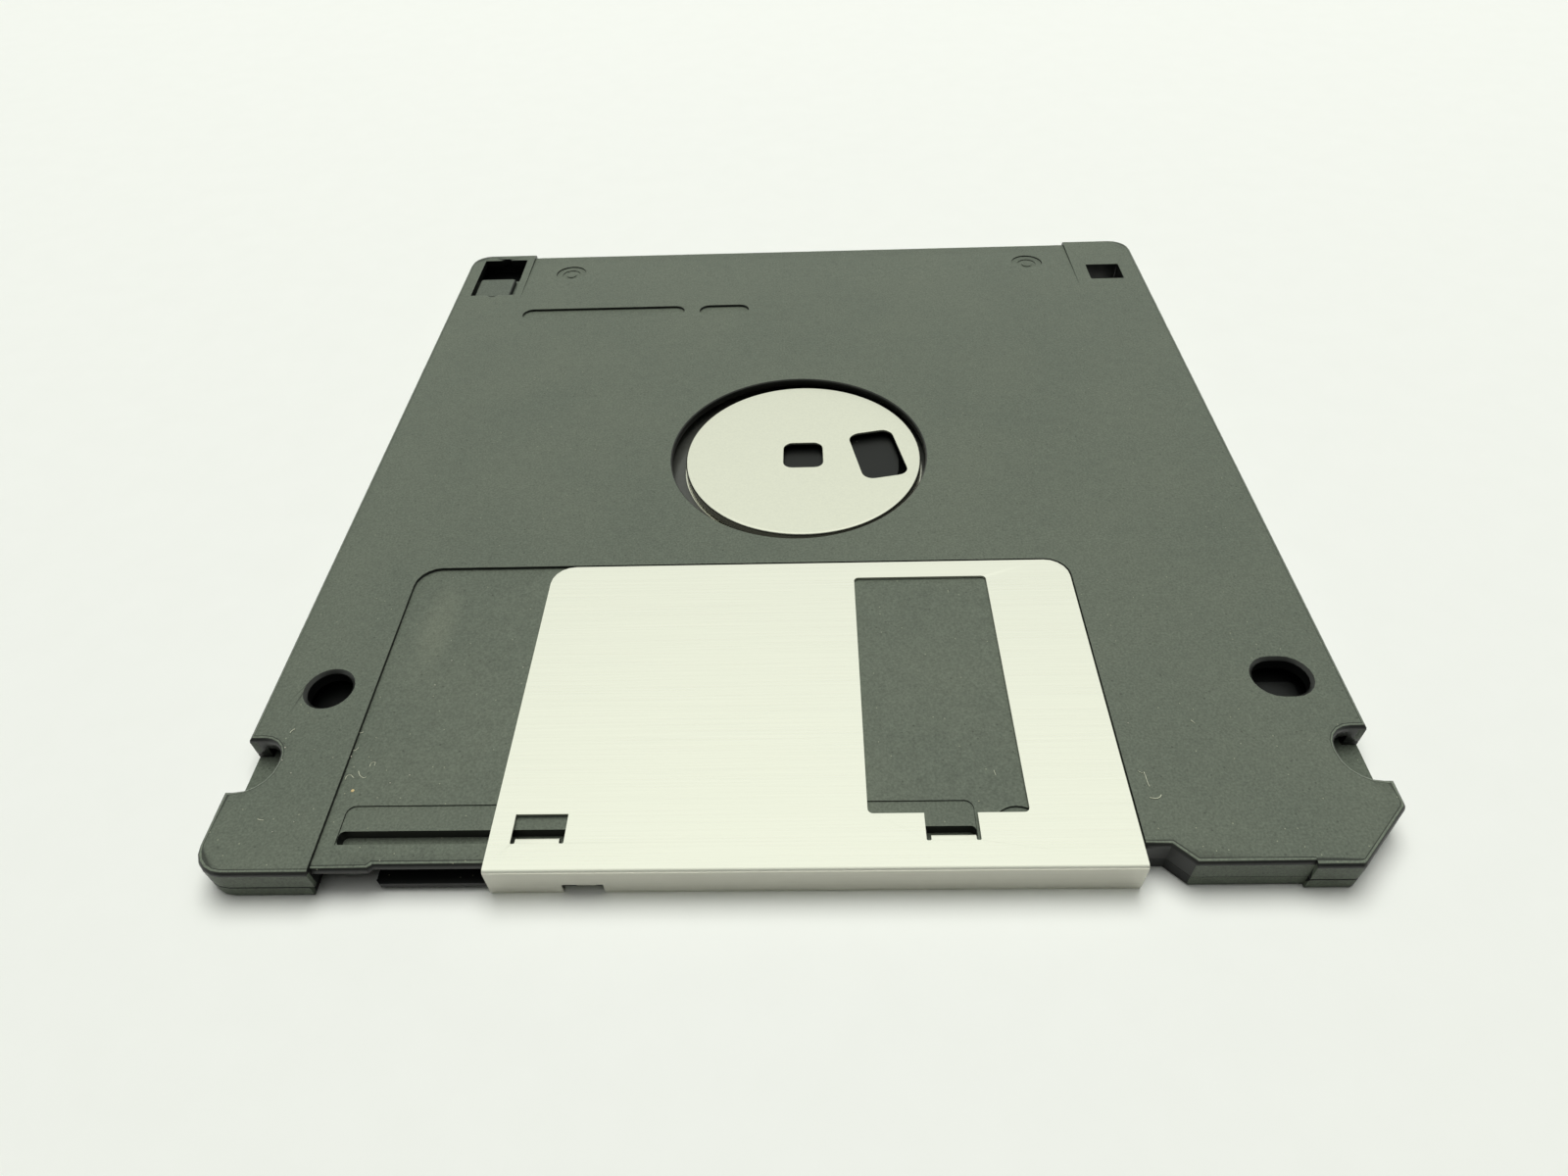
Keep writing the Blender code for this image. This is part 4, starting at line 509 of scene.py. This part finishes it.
# Lifter
# A bent strip of clear film, glued in the lower shell. It presses the lower liner on the disk beside
# the head window.
def grained_finish(
    name,
    colour,
    roughness,
    metallic,
    scale,
    spread,
    rough_spread,
    depth,
    bend_roughness=None,
    wall_painted_shade=1.0,
):
    """Finish whose colour, roughness and height follow one noise. Scale is its fineness along x, y and z."""
    finish = bpy.data.materials.new(name)
    finish.use_nodes = True
    tree = finish.node_tree
    shader = tree.nodes["Principled BSDF"]
    shader.inputs["Metallic"].default_value = metallic
    place = add_node(tree, "ShaderNodeTexCoord")
    scaled = add_node(tree, "ShaderNodeVectorMath", {1: scale}, operation="MULTIPLY")
    noise = add_node(tree, "ShaderNodeTexNoise", {"Scale": 1.0, "Detail": 4.0, "Roughness": 0.6})
    tone = add_node(
        tree,
        "ShaderNodeMapRange",
        {**NOISE_RANGE, "To Min": 1.0 - spread, "To Max": 1.0 + spread},
    )
    rough = add_node(
        tree,
        "ShaderNodeMapRange",
        {**NOISE_RANGE, "To Min": roughness - rough_spread, "To Max": roughness + rough_spread},
    )
    tinted = add_node(
        tree,
        "ShaderNodeMix",
        {"Factor": 1.0, "A": colour},
        data_type="RGBA",
        blend_type="MULTIPLY",
    )
    bump = add_node(tree, "ShaderNodeBump", {"Strength": 1.0, "Distance": depth})
    link = tree.links.new
    link(place.outputs["Object"], scaled.inputs[0])
    link(scaled.outputs[0], noise.inputs["Vector"])
    link(noise.outputs["Fac"], tone.inputs["Value"])
    link(noise.outputs["Fac"], rough.inputs["Value"])
    link(noise.outputs["Fac"], bump.inputs["Height"])
    link(bump.outputs["Normal"], shader.inputs["Normal"])
    link(tinted.outputs["Result"], shader.inputs["Base Color"])
    if bend_roughness is None:
        link(tone.outputs["Result"], tinted.inputs["B"])
        link(rough.outputs["Result"], shader.inputs["Roughness"])
        return finish
    # Bends and walls have another roughness than the flat faces, and walls a darker tone, which is painted
    # shade for the dim reflection they show.
    facing = add_node(tree, "ShaderNodeNewGeometry")
    normal = add_node(tree, "ShaderNodeSeparateXYZ")
    steep = add_node(tree, "ShaderNodeMath", operation="ABSOLUTE")
    bent = add_node(tree, "ShaderNodeMath", {1: 0.97}, operation="LESS_THAN")
    upright = add_node(tree, "ShaderNodeMath", {1: 0.2}, operation="LESS_THAN")
    shade = add_node(tree, "ShaderNodeMapRange", {"To Min": 1.0, "To Max": wall_painted_shade})
    shaded = add_node(tree, "ShaderNodeMath", operation="MULTIPLY")
    frosted = add_node(tree, "ShaderNodeMix", {"B": bend_roughness}, data_type="FLOAT")
    link(facing.outputs["Normal"], normal.inputs[0])
    link(normal.outputs["Z"], steep.inputs[0])
    link(steep.outputs[0], bent.inputs[0])
    link(steep.outputs[0], upright.inputs[0])
    link(upright.outputs[0], shade.inputs["Value"])
    link(tone.outputs["Result"], shaded.inputs[0])
    link(shade.outputs["Result"], shaded.inputs[1])
    link(shaded.outputs[0], tinted.inputs["B"])
    link(bent.outputs[0], frosted.inputs["Factor"])
    link(rough.outputs["Result"], frosted.inputs["A"])
    link(frosted.outputs["Result"], shader.inputs["Roughness"])
    return finish


def even_grain(scale):
    """The same fineness along x, y and z."""
    return (scale, scale, scale)


clear_film = grained_finish(
    "lifter_film",
    colour=(0.7, 0.72, 0.74, 1.0),
    roughness=0.2,
    metallic=0.0,
    scale=even_grain(300.0),
    spread=0.03,
    rough_spread=0.06,
    depth=0.000002,
)
dress("liner_lifter", "lifter_strip", clear_film, "housing")


# Lower liner
# A ring of unwoven white fabric that lies over the lifter and wipes the disk. It is cut from a square
# as wide as the room for the disk, less a margin.
fabric = grained_finish(
    "liner_fabric",
    colour=(0.8, 0.8, 0.77, 1.0),
    roughness=0.92,
    metallic=0.0,
    scale=(2600.0, 5200.0, 5200.0),
    spread=0.1,
    rough_spread=0.05,
    depth=0.00005,
)
lower_liner = dress("label_side_liner", "lower_liner", fabric, "housing")


# Disk
# Plastic film with a dark magnetic coating on both faces, polished to a gloss.
coating = grained_finish(
    "magnetic_coating",
    colour=(0.05, 0.052, 0.044, 1.0),
    roughness=0.2,
    metallic=0.0,
    scale=even_grain(1500.0),
    spread=0.06,
    rough_spread=0.04,
    depth=0.000001,
)
dress("magnetic_disk", "disk_film", coating, "disk")


# Adhesive ring
# Double-sided film that holds the disk to the flange of its hub.
glue = grained_finish(
    "adhesive",
    colour=(0.7, 0.7, 0.66, 1.0),
    roughness=0.5,
    metallic=0.0,
    scale=even_grain(2000.0),
    spread=0.06,
    rough_spread=0.08,
    depth=0.000005,
)
dress("hub_adhesive_ring", "glue_ring", glue, "disk")


# Hub
# Stamped from thin stainless steel with a satin face, and holes for the drive's spindle and pin.
SHEET_EDGE = 0.00003
satin_steel = grained_finish(
    "satin_steel",
    colour=(0.81, 0.8, 0.695, 1.0),
    roughness=0.34,
    metallic=1.0,
    scale=even_grain(4500.0),
    spread=0.035,
    rough_spread=0.06,
    depth=0.000003,
    bend_roughness=0.2,
)
dress("hub", "hub_plate", satin_steel, "disk", SHEET_EDGE)


# Upper liner
# The second fabric ring, glued under the upper shell.
upper_liner = dress("hub_side_liner", "upper_liner", fabric, "housing")


# Write-protect slide
# A small black plastic slide in its well, pushed to the front so that the hole is covered.
SLIDE_BLACK = (0.075, 0.09, 0.068, 1.0)
slide_plastic = moulded_plastic(
    "slide_plastic",
    SLIDE_BLACK,
    face=1.0,
    film=0.03,
    speck_amount=0.2,
    grain=MOULD_GRAIN / 2,
)
dress("write_protect_slide", "protect_slide", slide_plastic, "write_protect", MOULDED_EDGE)


# Shutter spring
# Two turns of round steel wire. One leg stands in the corner of the case, and the other pushes the
# shutter's inner tab, and goes with it.
bright_wire = grained_finish(
    "spring_wire",
    colour=(0.62, 0.62, 0.6, 1.0),
    roughness=0.22,
    metallic=1.0,
    scale=even_grain(3000.0),
    spread=0.04,
    rough_spread=0.06,
    depth=0.000002,
)
spring = dress("shutter_spring", "spring", bright_wire)
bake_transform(spring)


# Hub-side shell
# The upper half of the case, moulded like the lower one and welded to it at four pins.
upper_plastic = moulded_plastic(
    "upper_plastic",
    MATTE_BLACK,
    face=1.0,
    film=0.04,
    speck_amount=0.5,
    grain=MOULD_GRAIN,
    smudge=0.07,
)
dress("hub_side_shell", "upper_shell", upper_plastic, "housing", MOULDED_EDGE)


# Shutter
# One piece of thin stainless steel, brushed along its length and folded round the front edge.
brushed_steel = grained_finish(
    "brushed_steel",
    colour=(0.884, 0.87, 0.78, 1.0),
    roughness=0.3,
    metallic=1.0,
    scale=(60.0, 6500.0, 6500.0),
    spread=0.03,
    rough_spread=0.05,
    depth=0.0000015,
    bend_roughness=0.5,
    # Its walls, such as the fold's front face, are darkened as painted shade.
    wall_painted_shade=0.6,
)
dress("shutter", "shutter_leaf", brushed_steel, "shutter", SHEET_EDGE)


# Fibres
# Short pale fibres that lie on the case beside the shutter, low enough for the shutter to pass. Each has
# its level and radius in millimetres, and its path as pixels of the photograph.
PHOTO_WIDTH = 1600
PHOTO_HEIGHT = 1200
MILLIMETRE = 0.001
RECESS_LEVEL = 3.0
FACE_LEVEL = 3.3
DUST_HEIGHT = {RECESS_LEVEL: 0.04, FACE_LEVEL: 0.06}
FIBRES = {
    "left_recess_wave": (RECESS_LEVEL, 0.03, ((353, 768), (357, 765), (362, 766), (366, 763))),
    "left_recess_hook": (RECESS_LEVEL, 0.03, ((364, 746), (367, 748), (371, 747))),
    "left_front_arch": (RECESS_LEVEL, 0.022, ((352, 796), (354, 792), (358, 791), (361, 794))),
    "left_front_bowl": (RECESS_LEVEL, 0.025, ((366, 787), (367, 791), (371, 794), (374, 793))),
    "left_front_knot": (RECESS_LEVEL, 0.02, ((377, 783), (379, 779), (383, 778), (382, 782))),
    "window_tick": (RECESS_LEVEL, 0.02, ((1014, 786), (1016, 791))),
    "left_face_lint": (FACE_LEVEL, 0.035, ((296, 748), (298, 746), (301, 744))),
    "left_corner_dash": (FACE_LEVEL, 0.03, ((263, 836), (266, 837), (269, 837))),
    "right_face_strand": (FACE_LEVEL, 0.03, ((1167, 788), (1169, 793), (1171, 799), (1173, 803))),
    "right_face_stub": (FACE_LEVEL, 0.022, ((1161, 787), (1163, 788), (1166, 789))),
    "right_front_curl": (FACE_LEVEL, 0.035, ((1173, 814), (1178, 815), (1183, 814), (1185, 811))),
    "right_face_tick": (FACE_LEVEL, 0.028, ((1215, 735), (1219, 738))),
}


def place_seen(pixel, level):
    """The place at a level that the camera sees at a pixel, to a hundredth of a millimetre."""
    pixel_size = view.sensor_width / view.lens / PHOTO_WIDTH
    across = (pixel[0] - PHOTO_WIDTH / 2) * pixel_size
    up = (PHOTO_HEIGHT / 2 - pixel[1]) * pixel_size
    ray = camera.rotation_euler.to_matrix() @ Vector((across, up, -1.0))
    spot = camera.location + ray * ((level * MILLIMETRE - camera.location.z) / ray.z)
    height = level + DUST_HEIGHT[level] / 2
    return Vector((round(spot.x / MILLIMETRE, 2), round(spot.y / MILLIMETRE, 2), height)) * MILLIMETRE


def smooth_path(points, steps=5):
    """Points of a Catmull-Rom curve through the given ones."""
    ends = [points[0] * 2 - points[1], *points, points[-1] * 2 - points[-2]]
    path = []
    for a, b, c, d in zip(ends, ends[1:], ends[2:], ends[3:]):
        bend = a * 2 - b * 5 + c * 4 - d
        twist = b * 3 - a - c * 3 + d
        for step in range(steps):
            t = step / steps
            path.append(0.5 * (b * 2 + (c - a) * t + bend * t * t + twist * t ** 3))
    return [*path, points[-1]]


def add_strand(builder, path, radius, height, sides=6):
    """A thin flattened tube with closed ends along a path."""
    rings = []
    for index, point in enumerate(path):
        along = (path[min(index + 1, len(path) - 1)] - path[max(index - 1, 0)]).normalized()
        aside = along.cross(Vector((0, 0, 1))).normalized()
        up = aside.cross(along) * height / 2
        angles = [2 * math.pi * side / sides for side in range(sides)]
        ring = [point + aside * radius * math.cos(angle) + up * math.sin(angle) for angle in angles]
        rings.append([builder.verts.new(place) for place in ring])
    for low, high in zip(rings, rings[1:]):
        for side in range(sides):
            after = (side + 1) % sides
            builder.faces.new((low[side], low[after], high[after], high[side]))
    builder.faces.new(rings[0][::-1])
    builder.faces.new(rings[-1])


def loose_piece(name, builder, finish):
    """A new piece of the built mesh that rides on the case."""
    bmesh.ops.recalc_face_normals(builder, faces=builder.faces)
    mesh = bpy.data.meshes.new(name)
    builder.to_mesh(mesh)
    builder.free()
    mesh.materials.append(finish)
    mesh.shade_smooth()
    piece = bpy.data.objects.new(name, mesh)
    scene.collection.objects.link(piece)
    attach(piece, "housing")
    return piece


builder = bmesh.new()
for level, radius, pixels in FIBRES.values():
    points = [place_seen(pixel, level) for pixel in pixels]
    add_strand(builder, smooth_path(points), radius * MILLIMETRE, DUST_HEIGHT[level] * MILLIMETRE)
pale_fibre = grained_finish(
    "pale_fibre",
    colour=(0.6, 0.62, 0.46, 1.0),
    roughness=0.8,
    metallic=0.0,
    scale=even_grain(9000.0),
    spread=0.15,
    rough_spread=0.05,
    depth=0.000002,
)
loose_piece("fibres", builder, pale_fibre)


# Grains
# Pale grains of dirt beside the shutter, each with its level and radius in millimetres, and its place
# as a pixel of the photograph.
LUMP_CORE = 0.82
LUMP_RIPPLE = 0.18
LUMP_PHASE = 9000
GRAINS = (
    (RECESS_LEVEL, 0.06, (355, 765)),
    (RECESS_LEVEL, 0.08, (358.3, 772)),
    (RECESS_LEVEL, 0.05, (398, 799)),
    (RECESS_LEVEL, 0.06, (418, 791)),
    (RECESS_LEVEL, 0.05, (461, 674)),
    (RECESS_LEVEL, 0.05, (534, 681)),
    (RECESS_LEVEL, 0.05, (444, 699)),
    (FACE_LEVEL, 0.06, (291, 763)),
    (FACE_LEVEL, 0.05, (288, 776)),
    (FACE_LEVEL, 0.05, (297, 789)),
    (FACE_LEVEL, 0.05, (300, 839)),
    (FACE_LEVEL, 0.05, (278, 849)),
    (FACE_LEVEL, 0.05, (1151, 738)),
)


def add_grain(builder, centre, radius, height):
    """A small uneven lump, pressed flat."""
    place = Matrix.Translation(centre)
    lump = bmesh.ops.create_icosphere(builder, subdivisions=2, radius=radius, matrix=place)
    for vertex in lump["verts"]:
        out = vertex.co - centre
        wave = math.sin(out.x / radius * 5 + centre.x * LUMP_PHASE)
        wave *= math.cos(out.y / radius * 4 - out.z / radius * 3)
        out.z *= height / 2 / radius
        vertex.co = centre + out * (LUMP_CORE + LUMP_RIPPLE * wave)


builder = bmesh.new()
for level, radius, pixel in GRAINS:
    add_grain(builder, place_seen(pixel, level), radius * MILLIMETRE, DUST_HEIGHT[level] * MILLIMETRE)
pale_grain = grained_finish(
    "pale_grain",
    colour=(0.6, 0.58, 0.46, 1.0),
    roughness=0.85,
    metallic=0.0,
    scale=even_grain(9000.0),
    spread=0.2,
    rough_spread=0.05,
    depth=0.000004,
)
loose_piece("grains", builder, pale_grain)


# Crumb
# One tan crumb that lies in the recess to the left of the shutter. Its radius is in millimetres, and
# its place is a pixel of the photograph.
CRUMB_PIXEL = (360, 807)
CRUMB_RADIUS = 0.17
builder = bmesh.new()
crumb_centre = place_seen(CRUMB_PIXEL, RECESS_LEVEL)
add_grain(builder, crumb_centre, CRUMB_RADIUS * MILLIMETRE, DUST_HEIGHT[RECESS_LEVEL] * MILLIMETRE)
tan_grain = grained_finish(
    "tan_crumb",
    colour=(0.6, 0.47, 0.22, 1.0),
    roughness=0.7,
    metallic=0.0,
    scale=even_grain(8000.0),
    spread=0.25,
    rough_spread=0.1,
    depth=0.00001,
)
loose_piece("crumb", builder, tan_grain)
